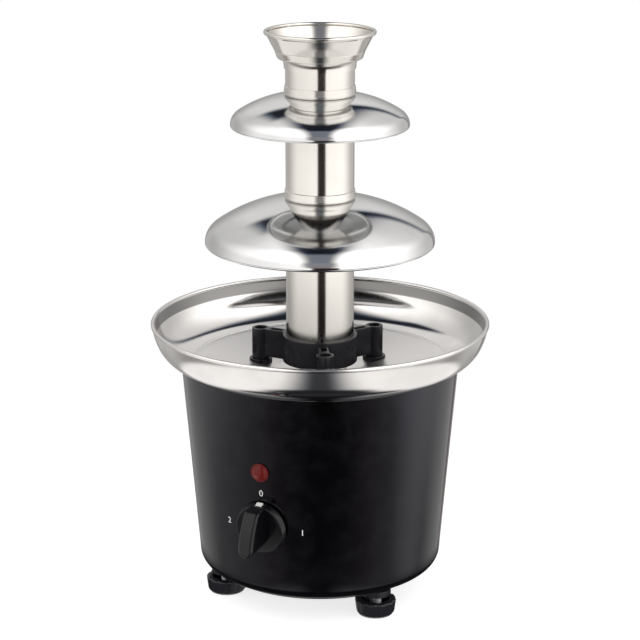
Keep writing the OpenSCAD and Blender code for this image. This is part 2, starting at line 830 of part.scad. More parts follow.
// The crown: a neck round the top tube, a shoulder, and a flared cup with a rolled rim
crown_neck_l = 6;
// How far the neck opens on its way up to the shoulder
crown_neck_flare = 1;
crown_fillet_r = 1.6;
// Where the cup's side bends outward, as shares of its height and of its flare
crown_bend_up = 0.28;
crown_bend_out = 0.2;

module crown() {
    neck_bore_r = tube_r + fit_gap;
    neck_r = neck_bore_r + tower_wall;
    foot_r = crown_foot_d / 2;
    rim_r = crown_bead_d / 2;
    rim_c = [crown_d / 2 - rim_r, crown_z + crown_h - rim_r];
    lip_z = rim_c.y - rim_r;
    lip_r = rim_c.x - 0.4;
    bend_z = crown_z + crown_bend_up * crown_h;
    bend_r = foot_r + crown_bend_out * (lip_r - foot_r);
    fillet_c = [foot_r - crown_fillet_r, crown_z + crown_fillet_r];
    color(steel)
        rotate_extrude($fn = 96) polygon(concat(
            [[neck_bore_r, crown_z - crown_neck_l], [neck_r, crown_z - crown_neck_l]],
            [[neck_r + crown_neck_flare, crown_z]],
            arc(fillet_c, crown_fillet_r, -90, -20, 6),
            [[bend_r, bend_z], [lip_r, lip_z]],
            arc(rim_c, rim_r, -75, 225, 20),
            [[lip_r - tower_wall, lip_z], [bend_r - tower_wall, bend_z]],
            arc(fillet_c, crown_fillet_r - tower_wall, -20, -90, 6),
            [[neck_bore_r, crown_z + tower_wall]]
        ));
}

// Controls
skirt_h = 4;
skirt_bevel = 1.2;
knob_gap = 1.2;
switch_nut_h = 2.2;
switch_nut_r = 7;
switch_nut_z = fit_gap + switch_nut_r * switch_nut_r / (2 * body_r(knob_z));
spindle_r = 3;
switch_w = 26;
switch_h = 26;
switch_depth = 16;
knob_recess_r = switch_nut_r + 1;
knob_recess_h = switch_nut_h;

// Side view of the grip, with x up the wall and y out of it: a ramp from the pointer to a proud, round end
grip_end_r = 3;
grip_top_in = 1.4;
grip_low_in = 6;
spindle_in = 10;

function grip_side() =
    let (
        top_x = knob_d / 2 - grip_top_in, low_x = -knob_d / 2 + grip_low_in,
        low_c = [low_x + grip_end_r, knob_h - grip_end_r],
        ramp_c = [top_x - grip_end_r, knob_low_h - grip_end_r]
    )
    concat(
        [[low_x, skirt_h / 2], [top_x, skirt_h / 2]],
        arc(ramp_c, grip_end_r, 0, 60, 5),
        arc(low_c, grip_end_r, 70, 180, 8)
    );

// The knob's skirt, or a larger copy of it
module skirt(grow) {
    cylinder(r1 = knob_d / 2 + grow, r2 = knob_d / 2 - skirt_bevel + grow, h = skirt_h);
}

// The grip seen from in front: straight sides and a round lower end
function grip_plan() = concat(
    arc([0, -knob_d / 2 + grip_low_in + grip_w / 2], grip_w / 2, 180, 360, 24),
    [[grip_w / 2, knob_d / 2], [-grip_w / 2, knob_d / 2]]
);

module control_knob() {
    color(moulded_black)
        on_wall(knob_z)
            translate([0, 0, knob_gap])
                difference() {
                    union() {
                        skirt(0);
                        intersection() {
                            rotate([0, 0, 90])
                                rotate([90, 0, 0])
                                    translate([0, 0, -grip_w / 2])
                                        linear_extrude(grip_w) polygon(grip_side());
                            linear_extrude(knob_h + 1) polygon(grip_plan());
                        }
                    }
                    translate([0, 0, -1]) cylinder(r = knob_recess_r, h = knob_recess_h + 1);
                    translate([0, 0, -1]) cylinder(r = spindle_r, h = spindle_in + 1);
                }
}

pointer_w = 4.4;
pointer_t = 0.4;
pointer_in = 0.5;

// The pointer is a raised bar over the side of the skirt, at its top
module knob_pointer() {
    color(pale)
        on_wall(knob_z)
            translate([0, 0, knob_gap])
                intersection() {
                    translate([-pointer_w / 2, 0, pointer_in])
                        cube([pointer_w, knob_d, skirt_h - 2 * pointer_in]);
                    difference() {
                        skirt(pointer_t);
                        skirt(0);
                    }
                }
}

// The switch stands back from the wall far enough for its flat face to clear the curve
switch_low_r = body_r(knob_z - switch_h / 2);
switch_clear = 1;
switch_face = sqrt(pow(switch_low_r - body_wall - switch_clear, 2) - pow(switch_w / 2, 2)) - switch_low_r;
bush_top = knob_gap + switch_nut_h - 0.4;
bush_root = 0.5;
spindle_seat = switch_face - switch_depth / 2;

module switch_body() {
    color(moulded_black)
        on_wall(knob_z)
            difference() {
                union() {
                    translate([-switch_w / 2, -switch_h / 2, switch_face - switch_depth])
                        cube([switch_w, switch_h, switch_depth]);
                    translate([0, 0, switch_face - bush_root])
                        cylinder(r = switch_bush_r, h = bush_top - switch_face + bush_root);
                }
                translate([0, 0, spindle_seat])
                    cylinder(r = spindle_r + run_gap, h = bush_top - spindle_seat + 1);
            }
}

module switch_nut() {
    color(zinc) on_wall(knob_z) ring(switch_nut_r, switch_bush_r, switch_nut_z, switch_nut_h);
}

module switch_spindle() {
    color(zinc)
        on_wall(knob_z)
            translate([0, 0, spindle_seat + run_gap])
                cylinder(r = spindle_r, h = knob_gap + spindle_in - spindle_seat - run_gap);
}

lens_flange_t = 1.2;
lens_rise = 2.6;
holder_r = lamp_hole_r - fit_gap;
holder_l = 18;

module lamp_lens() {
    lens_r = lamp_d / 2;
    cap_r = (lens_r - 0.9) * (lens_r - 0.9) / (2 * lens_rise) + lens_rise / 2;
    color(lamp_red)
        on_wall(lamp_z) {
            translate([0, 0, fit_gap]) cylinder(r = lens_r, h = lens_flange_t);
            intersection() {
                translate([0, 0, fit_gap + lens_flange_t + lens_rise - cap_r]) sphere(r = cap_r);
                translate([0, 0, fit_gap + lens_flange_t / 2])
                    cylinder(r = lens_r, h = lens_rise + lens_flange_t);
            }
        }
}

module lamp_holder() {
    color(moulded_black)
        on_wall(lamp_z) translate([0, 0, fit_gap - holder_l]) cylinder(r = holder_r, h = holder_l);
}

module lamp_clip() {
    clip_t = 1;
    color(zinc)
        on_wall(lamp_z) ring(holder_r + 2.4, holder_r, -body_wall - 0.6 - clip_t, clip_t);
}

inlet_flange_r = inlet_neck_r + 2.4;
inlet_flange_t = 2;
// Between its flanges the inlet holds the wall and the curve of the wall behind the inner flange
inlet_grip = body_wall + inlet_flange_r * inlet_flange_r / (2 * body_r(inlet_z)) + 3 * fit_gap;

module cord_inlet() {
    color(moulded_black)
        on_wall(inlet_z, back = true)
            difference() {
                union() {
                    translate([0, 0, fit_gap]) cylinder(r = inlet_flange_r, h = inlet_flange_t);
                    translate([0, 0, -inlet_grip]) cylinder(r = inlet_neck_r, h = inlet_grip + fit_gap);
                    translate([0, 0, -inlet_grip - inlet_flange_t])
                        cylinder(r = inlet_flange_r, h = inlet_flange_t);
                }
                translate([0, 0, -20]) cylinder(d = inlet_d, h = 40);
            }
}

block_size = [30, 16, 13];
block_y = 28;
block_z = ground_gap;
block_ways = 4;
way_d = 4;
way_depth = 7;

module terminal_block() {
    color(pale)
        translate([-block_size.x / 2, block_y, block_z])
            difference() {
                cube(block_size);
                for (i = [0:block_ways - 1])
                    translate([block_size.x * (i + 0.5) / block_ways, block_size.y / 2, 0])
                        translate([0, 0, block_size.z - way_depth]) cylinder(d = way_d, h = way_depth + 1);
            }
}

// Wiring: insulated leads between the block, the switch, the lamp, the motor, the cut-out and the heater.
// Each lead stops just clear of the terminal that it serves.
lead_d = 2.4;
lead_sides = 8;
lead_gap = 0.3;
block_lead_y = block_y - lead_gap;
block_lead_z = block_z + block_size.z / 2;
switch_lead_y = -body_r(knob_z) - switch_face + switch_depth + lead_gap;
lamp_lead_y = -body_r(lamp_z) + holder_l + lead_gap;
motor_lead_z = motor_z - lead_gap;
tab_drop = cutout_h + cutout_tab_l + lead_gap;
tab_lead_x = cutout_pitch_r + tab_drop * sin(bowl_slope);
tab_lead_z = bowl_under(cutout_pitch_r) - tab_drop * cos(bowl_slope);
tab_lead_y = cutout_r / 2;
pin_lead = at(heater_pitch_r, heater_pin_angles[0]);
pin_lead_z = heater_z - heater_pin_l - lead_gap;
LEADS = [
    [
        [-9, block_lead_y, block_lead_z], [-9, block_lead_y - 8, block_lead_z], [-10, -10, 32],
        [-8, switch_lead_y + 16, 56], [-8, switch_lead_y + 8, 66], [-8, switch_lead_y, 66]
    ],
    [
        [0, switch_lead_y, 74], [0, switch_lead_y + 7, 74], [0, switch_lead_y + 14, 88],
        [0, lamp_lead_y + 8, lamp_z - 2], [0, lamp_lead_y, lamp_z - 2]
    ],
    [
        [8, switch_lead_y, 66], [8, switch_lead_y + 8, 66], [9, -34, 62],
        [9, -14, motor_lead_z - 10], [9, -14, motor_lead_z]
    ],
    [
        [-3, block_lead_y, block_lead_z], [-3, block_lead_y - 8, block_lead_z], [-10, 4, 46],
        [-10, 4, motor_lead_z - 10], [-10, 4, motor_lead_z]
    ],
    [
        [3, block_lead_y, block_lead_z], [3, block_lead_y - 8, block_lead_z], [18, 10, 44], [42, 6, 90],
        [tab_lead_x, tab_lead_y, tab_lead_z - 10], [tab_lead_x, tab_lead_y, tab_lead_z]
    ],
    [
        [tab_lead_x, -tab_lead_y, tab_lead_z], [tab_lead_x, -tab_lead_y, tab_lead_z - 10], [52, 14, 112],
        [42, 36, 108], [pin_lead.x, pin_lead.y, pin_lead_z - 10], [pin_lead.x, pin_lead.y, pin_lead_z]
    ],
    [
        [9, block_lead_y, block_lead_z], [9, block_lead_y - 8, block_lead_z], [4, 8, 36],
        [-26, 22, 50], [-36, 44, 90],
        [-pin_lead.x, pin_lead.y, pin_lead_z - 10], [-pin_lead.x, pin_lead.y, pin_lead_z]
    ]
];

function unit(v) = v / norm(v);
// A point on a smooth curve through the route's points, at u from 0 to the last index
function route_at(p, u) =
    let (
        n = len(p) - 1, i = min(floor(u), n - 1), t = u - i,
        b = p[i], c = p[i + 1], a = i > 0 ? p[i - 1] : 2 * b - c, d = i < n - 1 ? p[i + 2] : 2 * c - b
    )
    0.5 * (2 * b + (c - a) * t + (2 * a - 5 * b + 4 * c - d) * t * t + (3 * b - a - 3 * c + d) * t * t * t);

module lead(points) {
    rings = 5 * (len(points) - 1);
    path = [for (i = [0:rings]) route_at(points, (len(points) - 1) * i / rings)];
    across = [1, 0.01, 0.02];
    corners = [for (i = [0:rings]) let (
        along = unit(path[min(i + 1, rings)] - path[max(i - 1, 0)]),
        u = unit(cross(along, across)), v = cross(along, u)
    ) each [for (k = [0:lead_sides - 1])
        path[i] + lead_d / 2 * (u * cos(360 * k / lead_sides) + v * sin(360 * k / lead_sides))]];
    sides = [for (i = [0:rings - 1], k = [0:lead_sides - 1]) let (
        p = lead_sides * i + k, q = lead_sides * i + (k + 1) % lead_sides
    ) each [[p, q, q + lead_sides], [p, q + lead_sides, p + lead_sides]]];
    ends = [for (k = [1:lead_sides - 2]) each [
        [0, k + 1, k],
        [lead_sides * rings, lead_sides * rings + k, lead_sides * rings + k + 1]
    ]];
    polyhedron(corners, concat(sides, ends));
}

module wiring() {
    color(lamp_red) for (route = LEADS) lead(route);
}

// Feet
flute_count = 12;
flute_r = 3;
flute_depth = 0.8;
foot_recess_r = 9.4;
foot_recess_h = 4.6;
stud_low_z = pad_t + 1.6;
stud_top_z = insert_top_z + 4;

module at_foot(i) {
    rotate([0, 0, foot_angles[i]]) translate([foot_pitch_r, 0, 0]) children();
}

module foot_knob(i) {
    color(moulded_black)
        at_foot(i)
            difference() {
                translate([0, 0, pad_t]) cylinder(d = foot_d, h = foot_h);
                for (k = [0:flute_count - 1])
                    rotate([0, 0, 360 * k / flute_count])
                        translate([foot_d / 2 + flute_r - flute_depth, 0, 0])
                            cylinder(r = flute_r, h = foot_top_z + 1, $fn = 24);
                translate([0, 0, foot_top_z - foot_recess_h])
                    cylinder(r = foot_recess_r, h = foot_recess_h + 1);
                translate([0, 0, stud_low_z]) cylinder(d = stud_d, h = foot_h);
            }
}

module foot_stud(i) {
    color(zinc) at_foot(i) translate([0, 0, stud_low_z]) cylinder(d = stud_d, h = stud_top_z - stud_low_z);
}

module foot_pad(i) {
    color(zinc) at_foot(i) cylinder(d1 = pad_d - 1.2, d2 = pad_d, h = pad_t);
}

body_shell();
base_plate();
foot_inserts();
tie_rods();
tie_nuts();
bowl();
stand_pins();
pin_collars();
shaft_seal();
heater_element();
heater_straps();
thermal_cutout();
motor_standoffs();
gearbox_cover();
gearbox_case();
gearbox_screws();
idler_axle();
motor_can();
motor_stator();
switch_body();
switch_nut();
lamp_lens();
lamp_holder();
lamp_clip();
cord_inlet();
terminal_block();
wiring();
drive_shaft();
output_gear();
thrust_washer();
idler_gear();
rotor_shaft();
rotor_core();
rotor_pinion();
auger_core();
auger_flight();
tower_stand();
lower_tube();
lower_tier();
middle_tube();
upper_tier();
top_tube();
crown();
control_knob();
knob_pointer();
switch_spindle();
foot_knob(0);  // foot_knob_left
foot_knob(1);  // foot_knob_right
foot_knob(2);  // foot_knob_rear
foot_stud(0);  // foot_stud_left
foot_stud(1);  // foot_stud_right
foot_stud(2);  // foot_stud_rear
foot_pad(0);  // foot_pad_left
foot_pad(1);  // foot_pad_right
foot_pad(2);  // foot_pad_rear
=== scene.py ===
# %% [markdown]
# # A table-top chocolate fountain
#
# This lesson dresses a packed CAD model for its portrait. CAD already holds every piece at its real size
# and place. Blender adds turned sheet metal with rolled edges, softened mouldings, printed numerals, and
# a finish for every surface. Lengths are in millimetres until they meet a mesh or a shader, where `MM`
# turns them into Blender's metres.

# %% Load the frame
import math

import bmesh
import bpy
from mathutils import Matrix, Vector


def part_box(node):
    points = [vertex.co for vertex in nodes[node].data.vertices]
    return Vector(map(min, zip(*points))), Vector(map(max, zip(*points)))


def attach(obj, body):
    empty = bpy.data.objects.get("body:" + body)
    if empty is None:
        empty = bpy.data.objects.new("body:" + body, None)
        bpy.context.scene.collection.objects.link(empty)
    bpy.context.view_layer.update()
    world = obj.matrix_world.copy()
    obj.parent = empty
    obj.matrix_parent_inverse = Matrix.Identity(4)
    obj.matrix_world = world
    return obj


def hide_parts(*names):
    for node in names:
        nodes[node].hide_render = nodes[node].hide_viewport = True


MM = 0.001
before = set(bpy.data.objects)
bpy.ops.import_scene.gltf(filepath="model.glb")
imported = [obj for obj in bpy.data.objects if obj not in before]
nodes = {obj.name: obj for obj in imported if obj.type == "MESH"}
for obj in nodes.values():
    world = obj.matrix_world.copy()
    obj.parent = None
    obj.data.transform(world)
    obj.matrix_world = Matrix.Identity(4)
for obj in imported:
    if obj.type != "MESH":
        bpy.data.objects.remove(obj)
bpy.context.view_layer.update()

# %% [markdown]
# ## The camera
#
# The picture was taken from a little above the bowl and to the right of the knob, with a long lens that
# keeps the rims nearly parallel. A Track To constraint could aim the camera, but the pitch is known, so
# plain angles are simpler.

# %% Place the camera
CAMERA_LENS = 116.2
CAMERA_TURN = math.radians(25.7)
CAMERA_PITCH = math.radians(16.278)
CAMERA_REACH = 1292.1
CAMERA_HEIGHT = 559.7


def add_object(name, data):
    """Puts an object with this data in the scene."""
    made = bpy.data.objects.new(name, data)
    bpy.context.scene.collection.objects.link(made)
    return made


camera = add_object("camera", bpy.data.cameras.new("camera"))
camera.data.sensor_width = 36
camera.data.lens = CAMERA_LENS
camera.location = (
    math.sin(CAMERA_TURN) * CAMERA_REACH * MM,
    -math.cos(CAMERA_TURN) * CAMERA_REACH * MM,
    CAMERA_HEIGHT * MM,
)
camera.rotation_euler = (math.pi / 2 - CAMERA_PITCH, 0, CAMERA_TURN)
bpy.context.scene.camera = camera
print("camera at", [round(x, 3) for x in camera.location])

# %% [markdown]
# ## Shader maths as Python
#
# A finish is a small calculation. Dozens of Math nodes wired by hand would do it, but they hide the idea.
# So one class wraps a socket, and its `+`, `-` and `*` add the nodes. Any other node comes from its
# `node` method.

# %% Wrap a socket
UP = (0, 0, 1)


class Wire:
    """A value in a node tree, so that shader maths reads as Python."""

    def __init__(self, tree, socket=None):
        self.tree = tree
        self.socket = socket

    def node(self, kind, settings=None, inputs=None, out=0):
        """Adds a node with its settings, then its inputs, and returns one of its outputs."""
        made = self.tree.nodes.new(kind)
        for name, value in (settings or {}).items():
            setattr(made, name, value)
        for name, value in (inputs or {}).items():
            if isinstance(value, Wire):
                self.tree.links.new(value.socket, made.inputs[name])
            else:
                made.inputs[name].default_value = value
        return Wire(self.tree, made.outputs[out] if made.outputs else None)

    def math(self, operation, *values):
        """One Math node on this value and up to two more."""
        inputs = {0: self, **{i + 1: value for i, value in enumerate(values)}}
        return self.node("ShaderNodeMath", {"operation": operation}, inputs)

    def __add__(self, other):
        return self.math("ADD", other)

    __radd__ = __add__

    def __sub__(self, other):
        return self.math("SUBTRACT", other)

    def __rsub__(self, other):
        return self.math("MULTIPLY_ADD", -1, other)

    def __mul__(self, other):
        return self.math("MULTIPLY", other)

    __rmul__ = __mul__

    def size(self):
        """The value without its sign."""
        return self.math("ABSOLUTE")

    def step(self, low, high):
        """A smooth climb from 0 at low to 1 at high."""
        settings = {"interpolation_type": "SMOOTHSTEP"}
        inputs = {"Value": self, "From Min": low, "From Max": high}
        return self.node("ShaderNodeMapRange", settings, inputs)

    def dot(self, direction):
        """How far a vector points along a direction."""
        settings = {"operation": "DOT_PRODUCT"}
        return self.node("ShaderNodeVectorMath", settings, {0: self, 1: direction}, "Value")

    def blend(self, first, second):
        """A colour between two, with this value as the share of the second."""
        return self.node("ShaderNodeMix", {"data_type": "RGBA"}, {0: self, 6: first, 7: second}, 2)


print("operators ready:", [name for name in vars(Wire) if name.startswith("__")][1:])

# %% [markdown]
# ## The studio
#
# Polished steel has almost no look of its own: it shows the room. Here that is a photographer's tent
# with a large soft light on each side. Between them a dark gap runs from behind the camera up over the
# fountain, and it draws the dark stripe down the tubes. Lamps could be modelled, but painting the room
# on the world is lighter, and it stays put when the camera walks round.

# %% Read a ray's direction
HORIZON = (-0.17, -0.02)
world = bpy.data.worlds.new("studio")
bpy.context.scene.world = world
world.use_nodes = True
world.node_tree.nodes.clear()
room = Wire(world.node_tree)
ray = room.node("ShaderNodeTexCoord", out="Generated")
front = ray.dot((math.sin(CAMERA_TURN), -math.cos(CAMERA_TURN), 0))
side = ray.dot((math.cos(CAMERA_TURN), math.sin(CAMERA_TURN), 0))
up = ray.dot(UP)
down = up * -1
off_centre = side.size()
above_table = up.step(*HORIZON)
print("nodes for the direction:", len(world.node_tree.nodes))

# %% [markdown]
# ### Soft lights
#
# A soft light shows in a tube as a broad pale band, and its inner edge sets how crisp the dark stripe
# is. Below the horizon the gap sits a little to the right, with harder edges. The lights reach round to
# the back and grow dimmer on the way.

# %% Hang a soft light on each side
SOFTBOX_GLOW = 1.38
RIGHT_MORE = 0.2
HIGH_MORE = 0.28
HIGH_SPAN = (0.1, 0.5)
GAP_EDGE = (0.13, 0.36)
LOW_GAP_EDGE = (0.19, 0.26)
LOW_GAP_SHIFT = 0.09
NEAR_SLANT = 0.45
NEAR_END = (-0.72, -0.62)
FAR_LEFT = (0.28, 0.42)
FAR_RIGHT = (0.42, 0.62)
BACK_SPAN = (0.25, -0.75)
BACK_LOSS = 0.58
low_edge = (side - LOW_GAP_SHIFT).size().step(*LOW_GAP_EDGE)
gap_edge = low_edge * (1 - above_table) + off_centre.step(*GAP_EDGE) * above_table
near_side = gap_edge * (front + side * NEAR_SLANT).step(*NEAR_END)
far_side = (side * -1).step(*FAR_LEFT) + side.step(*FAR_RIGHT)
softbox = 1 - (1 - near_side) * (1 - far_side)
fall_off = 1 - front.step(*BACK_SPAN) * BACK_LOSS
strength = (up.step(*HIGH_SPAN) * HIGH_MORE + 1) * (side * RIGHT_MORE + SOFTBOX_GLOW)
panels = softbox * fall_off * strength
print("soft lights glow at", SOFTBOX_GLOW, "and lose", BACK_LOSS, "behind")

# %% [markdown]
# ### Between the soft lights
#
# The gap isn't quite black. A dim light hangs over the front, a white backdrop stands behind, and a grey
# wall behind the camera closes the lowest part of the gap. A wide wall would show as a grey patch on
# every bead and dome, so it stays narrow and low.

# %% Fill the gap
OVERHEAD_GLOW = 0.25
OVERHEAD_SPAN = (0.12, 0.42)
BACKDROP_GLOW = 0.85
FAR_TABLE_GLOW = 0.38
BACKDROP_RISE = (0.0, 0.45)
BACKDROP_SLANT = 0.2
BACKDROP_EDGE = (-0.77, -0.84)
WALL_GLOW = 0.3
WALL_EDGE = (0.12, 0.36)
WALL_FRONT = (-0.2, 0.3)
WALL_FOOT = (0.0, 0.07)
WALL_TOP = (0.34, 0.46)
overhead = front.step(*OVERHEAD_SPAN) * above_table * OVERHEAD_GLOW
backdrop = up.step(*BACKDROP_RISE) * (BACKDROP_GLOW - FAR_TABLE_GLOW) + FAR_TABLE_GLOW
between = overhead + (front + side * BACKDROP_SLANT).step(*BACKDROP_EDGE) * backdrop
open_room = panels + (1 - softbox) * between
wall_width = (1 - off_centre.step(*WALL_EDGE)) * front.step(*WALL_FRONT)
wall = up.step(*WALL_FOOT) * (1 - up.step(*WALL_TOP)) * wall_width
lights = open_room * (1 - wall) + wall * WALL_GLOW
print("backdrop glows at", BACKDROP_GLOW, "and wall at", WALL_GLOW)

# %% [markdown]
# ### Below the horizon
#
# The domes and the bowl mirror the table too. Far off it is lit from the sides and the back, nearby it
# is dark under the gap, and it is darkest straight down. A lit plane could be mirrored instead, but its
# tones couldn't be set one by one.

# %% Lay the table in the room
TABLE_FROM = (0.36, 0.46)
SIDE_GLOW = 0.45
SIDE_SPAN = (0.3, 1.05)
RIGHT_EDGE_GLOW = 0.8
RIGHT_EDGE = (0.80, 0.97)
FAR_END = (-0.25, -0.7)
NEAR_FROM = (0.54, 0.60)
NEAR_GLOW = 1.1
NEAR_LEAST = 0.03
NEAR_SPAN = (0.05, 0.42)
STRAIGHT_DOWN = (0.92, 0.97)
GAP_GLOW = 0.022
far_sides = off_centre.step(*SIDE_SPAN) * SIDE_GLOW + side.step(*RIGHT_EDGE) * RIGHT_EDGE_GLOW
far_table = far_sides + front.step(*FAR_END) * FAR_TABLE_GLOW
near_middle = off_centre.step(*NEAR_SPAN) + NEAR_LEAST
near_table = near_middle * (1 - down.step(*STRAIGHT_DOWN)) * NEAR_GLOW
is_table = down.step(*TABLE_FROM)
is_near = down.step(*NEAR_FROM)
table = far_table * is_table * (1 - is_near) + near_table * is_near
glow = lights * (1 - is_table) + table + GAP_GLOW
print("the table glows at", NEAR_GLOW, "nearby")

# %% [markdown]
# ### Tints
#
# The soft lights are white, and the dark gap is bluish above and brownish below, like cloth and wood.
# The camera itself sees plain white, so the picture shows no wall.

# %% Tint the light and switch it on
WHITE = (1, 1, 1, 1)
LIGHT_TINT = (1.0, 0.99, 0.975, 1)
LOW_GAP_TINT = (1.0, 0.76, 0.70, 1)
HIGH_GAP_TINT = (0.55, 0.68, 1.0, 1)
NEAR_TABLE_TINT = (0.86, 0.90, 1.0, 1)
TINT_RISE = (-0.1, 0.2)
TINT_GLOW = (0.03, 0.5)
gap_tint = up.step(*TINT_RISE).blend(LOW_GAP_TINT, HIGH_GAP_TINT)
dark_tint = is_near.blend(gap_tint, NEAR_TABLE_TINT)
tint = glow.step(*TINT_GLOW).blend(dark_tint, LIGHT_TINT)
seen = room.node("ShaderNodeBackground", inputs={"Color": WHITE, "Strength": 1.0})
lit = room.node("ShaderNodeBackground", inputs={"Color": tint, "Strength": glow})
is_camera = room.node("ShaderNodeLightPath", out="Is Camera Ray")
either = room.node("ShaderNodeMixShader", inputs={0: is_camera, 1: lit, 2: seen})
room.node("ShaderNodeOutputWorld", inputs={"Surface": either})
bpy.context.scene.view_settings.view_transform = "Standard"
print("world nodes:", len(world.node_tree.nodes))

# %% [markdown]
# ## Levels
#
# Every turned piece takes its top, bottom and width from the CAD node that it stands for. Typed numbers
# could drift away from the CAD, so only what a box can't say, such as the radius of a bend, is written
# out below.

# %% Read the levels off the frame
def reach(node):
    """A node's widest radius and its lowest and highest level, in millimetres."""
    low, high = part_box(node)
    return (high[0] - low[0]) / 2 / MM, low[2] / MM, high[2] / MM


tube_r, lower_tube_low, lower_hub_z = reach("lower_tube")
bead_out_r, middle_low, upper_hub_z = reach("middle_tube")
_, top_low, tube_top_z = reach("top_tube")
lower_tier_r = reach("lower_tier")[0]
upper_tier_r = reach("upper_tier")[0]
crown_r, crown_neck_z, crown_top_z = reach("crown")
bowl_r, bowl_low_z, bowl_top_z = reach("bowl")
body_top_r, body_low_z, body_top_z = reach("body_shell")
print("tube radius", round(tube_r, 2), "hubs at", round(lower_hub_z, 2), "and", round(upper_hub_z, 2))

# %% [markdown]
# ## Finishes
#
# Each material slot of the record gets one finish, a Principled surface: what is the same all over is a
# number on its socket, and what changes is a wire. Painted textures would need unwrapped meshes. Noise
# needs only a position, and object coordinates are the model's metres, so the grain has its real scale.

# %% Begin and end a finish
finishes = {}


def begin(name):
    """A new material with an empty tree. Returns a wire to build on."""
    material = bpy.data.materials.new(name)
    material.use_nodes = True
    material.node_tree.nodes.clear()
    finishes[name] = material
    return Wire(material.node_tree)


def surface(wire, sockets):
    """Ends a finish: a Principled surface with these numbers and wires on its sockets."""
    shader = wire.node("ShaderNodeBsdfPrincipled", inputs=sockets)
    wire.node("ShaderNodeOutputMaterial", inputs={"Surface": shader})


def place(wire):
    """Where a point of the surface is, in metres."""
    return wire.node("ShaderNodeTexCoord", out="Object")


def from_axis(spot):
    """How far a point is from the tower's axis, in metres."""
    x = spot.dot((1, 0, 0))
    y = spot.dot((0, 1, 0))
    return (x * x + y * y).math("SQRT")


print("finishes so far:", len(finishes))

# %% [markdown]
# ### Noise, colour and dullness
#
# Real surfaces vary: a colour dips where a hand or a mould left it duller. Each finish could spell that
# out in nodes, but all of them need the same few tools: a noise, a colour that dips with it, a roughness
# that swings about its mean, and a bump.

# %% Vary a finish
MOTTLE_SPAN = (0.3, 0.7)


def noise(vector, scale, detail):
    """Soft noise from 0 to 1, with this many features to the metre."""
    inputs = {"Vector": vector, "Scale": scale, "Detail": detail}
    return vector.node("ShaderNodeTexNoise", inputs=inputs)


def tone(colour, share=1.0):
    """A share of a colour's brightness, with the alpha that a socket wants."""
    return (*(min(1, share * c) for c in colour), 1)


def mottled(cloud, colour, darkest, span=MOTTLE_SPAN):
    """A colour that dips to a share of itself where a noise is low."""
    return cloud.step(*span).blend(tone(colour, darkest), tone(colour))


def rough_about(mean, *swings):
    """A roughness about a mean, from (noise, swing) pairs."""
    rough = mean - sum(swing for _, swing in swings) / 2
    for cloud, swing in swings:
        rough = cloud * swing + rough
    return rough


def bump(height, depth):
    """A normal that follows a height of up to this many millimetres."""
    return height.node("ShaderNodeBump", inputs={"Height": height, "Distance": depth * MM})


print("mottle spans", MOTTLE_SPAN)

# %% [markdown]
# ### Spun steel
#
# The bowl and tiers are spun on a lathe, which leaves faint rings. The shader's Anisotropic value could
# smear the reflections along them, but it needs a tangent on every mesh. Noise that only knows the
# distance from the axis and the height nudges the roughness and the normal instead. The bowl's floor is
# satin, and its paler colour is painted light. A dull band runs inside its rim, and its darker colour is
# painted shade.

# %% Finish the spun steel
RING_SCALE = 1400
RING_SWING = 0.06
MARK_SCALE = 28
MARK_SWING = 0.05
MARK_SHADE = 0.9
MARK_SPAN = (0.35, 0.65)
SATIN_BLUR = 1.0
# The satin middle's paler colour is painted light.
SATIN_PAINTED_LIGHT = 1.2
SATIN_DULL = 0.24
BAND_DEPTHS = (9.5, 2.2)
BAND_BLUR = 0.5
BAND_INWARD = 0.03
# The band's darker colour is painted shade.
BAND_PAINTED_SHADE = 0.3
BAND_DULL = 0.1


def inner_band(wire, low, high):
    """1 on the faces that look at the axis between two levels, and 0 elsewhere."""
    spot = place(wire)
    facing = wire.node("ShaderNodeNewGeometry", out="Normal")
    height = spot.dot(UP)
    outward = facing.dot(spot) - facing.dot(UP) * height
    over_low = height.step((low - BAND_BLUR) * MM, (low + BAND_BLUR) * MM)
    under_high = height.step((high + BAND_BLUR) * MM, (high - BAND_BLUR) * MM)
    return (outward * -1).step(0, BAND_INWARD) * over_low * under_high


def spun_steel(name, colour, rough, satin_r=None, band=None):
    """Bright steel with turning rings and handling marks. It may have a satin middle, paler with painted
    light, and a dull band, darker with painted shade.
    """
    wire = begin(name)
    spot = place(wire)
    radius = from_axis(spot)
    rings = noise(wire.node("ShaderNodeCombineXYZ", inputs={0: radius, 2: spot.dot(UP)}), RING_SCALE, 3)
    marks = noise(spot, MARK_SCALE, 3)
    metal = mottled(marks, colour, MARK_SHADE, MARK_SPAN)
    dull = rough_about(rough, (rings, RING_SWING), (marks, MARK_SWING))
    if satin_r:
        middle = radius.step((satin_r + SATIN_BLUR) * MM, (satin_r - SATIN_BLUR) * MM)
        # The paler colour of the satin middle is painted light.
        metal = middle.blend(metal, tone(colour, SATIN_PAINTED_LIGHT))
        dull = dull + middle * SATIN_DULL
    if band:
        dull_band_and_painted_shade = inner_band(wire, *band)
        # The darker colour of the band inside the rim is painted shade.
        metal = dull_band_and_painted_shade.blend(metal, tone(colour, BAND_PAINTED_SHADE))
        dull = dull + dull_band_and_painted_shade * BAND_DULL
    normal = bump(rings, depth=0.0025)
    surface(wire, {"Base Color": metal, "Metallic": 1.0, "Roughness": dull, "Normal": normal})


rim_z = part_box("bowl")[1][2] / MM
rim_band = [rim_z - depth for depth in BAND_DEPTHS]
spun_steel("bowl_steel", (0.775, 0.755, 0.74), rough=0.11, satin_r=84, band=rim_band)
spun_steel("tier_steel", (0.73, 0.73, 0.73), rough=0.085)
spun_steel("bright_steel", (0.72, 0.72, 0.73), rough=0.12)
print("spun steels:", ", ".join(finishes))

# %% [markdown]
# ### Brushed steel
#
# The tubes are drawn and brushed along their length, which leaves them duller and warmer. A picture of
# scratches would tile, so the streaks are noise that is stretched along the tube. Low down, where the
# bowl shades them, the tubes are darker.

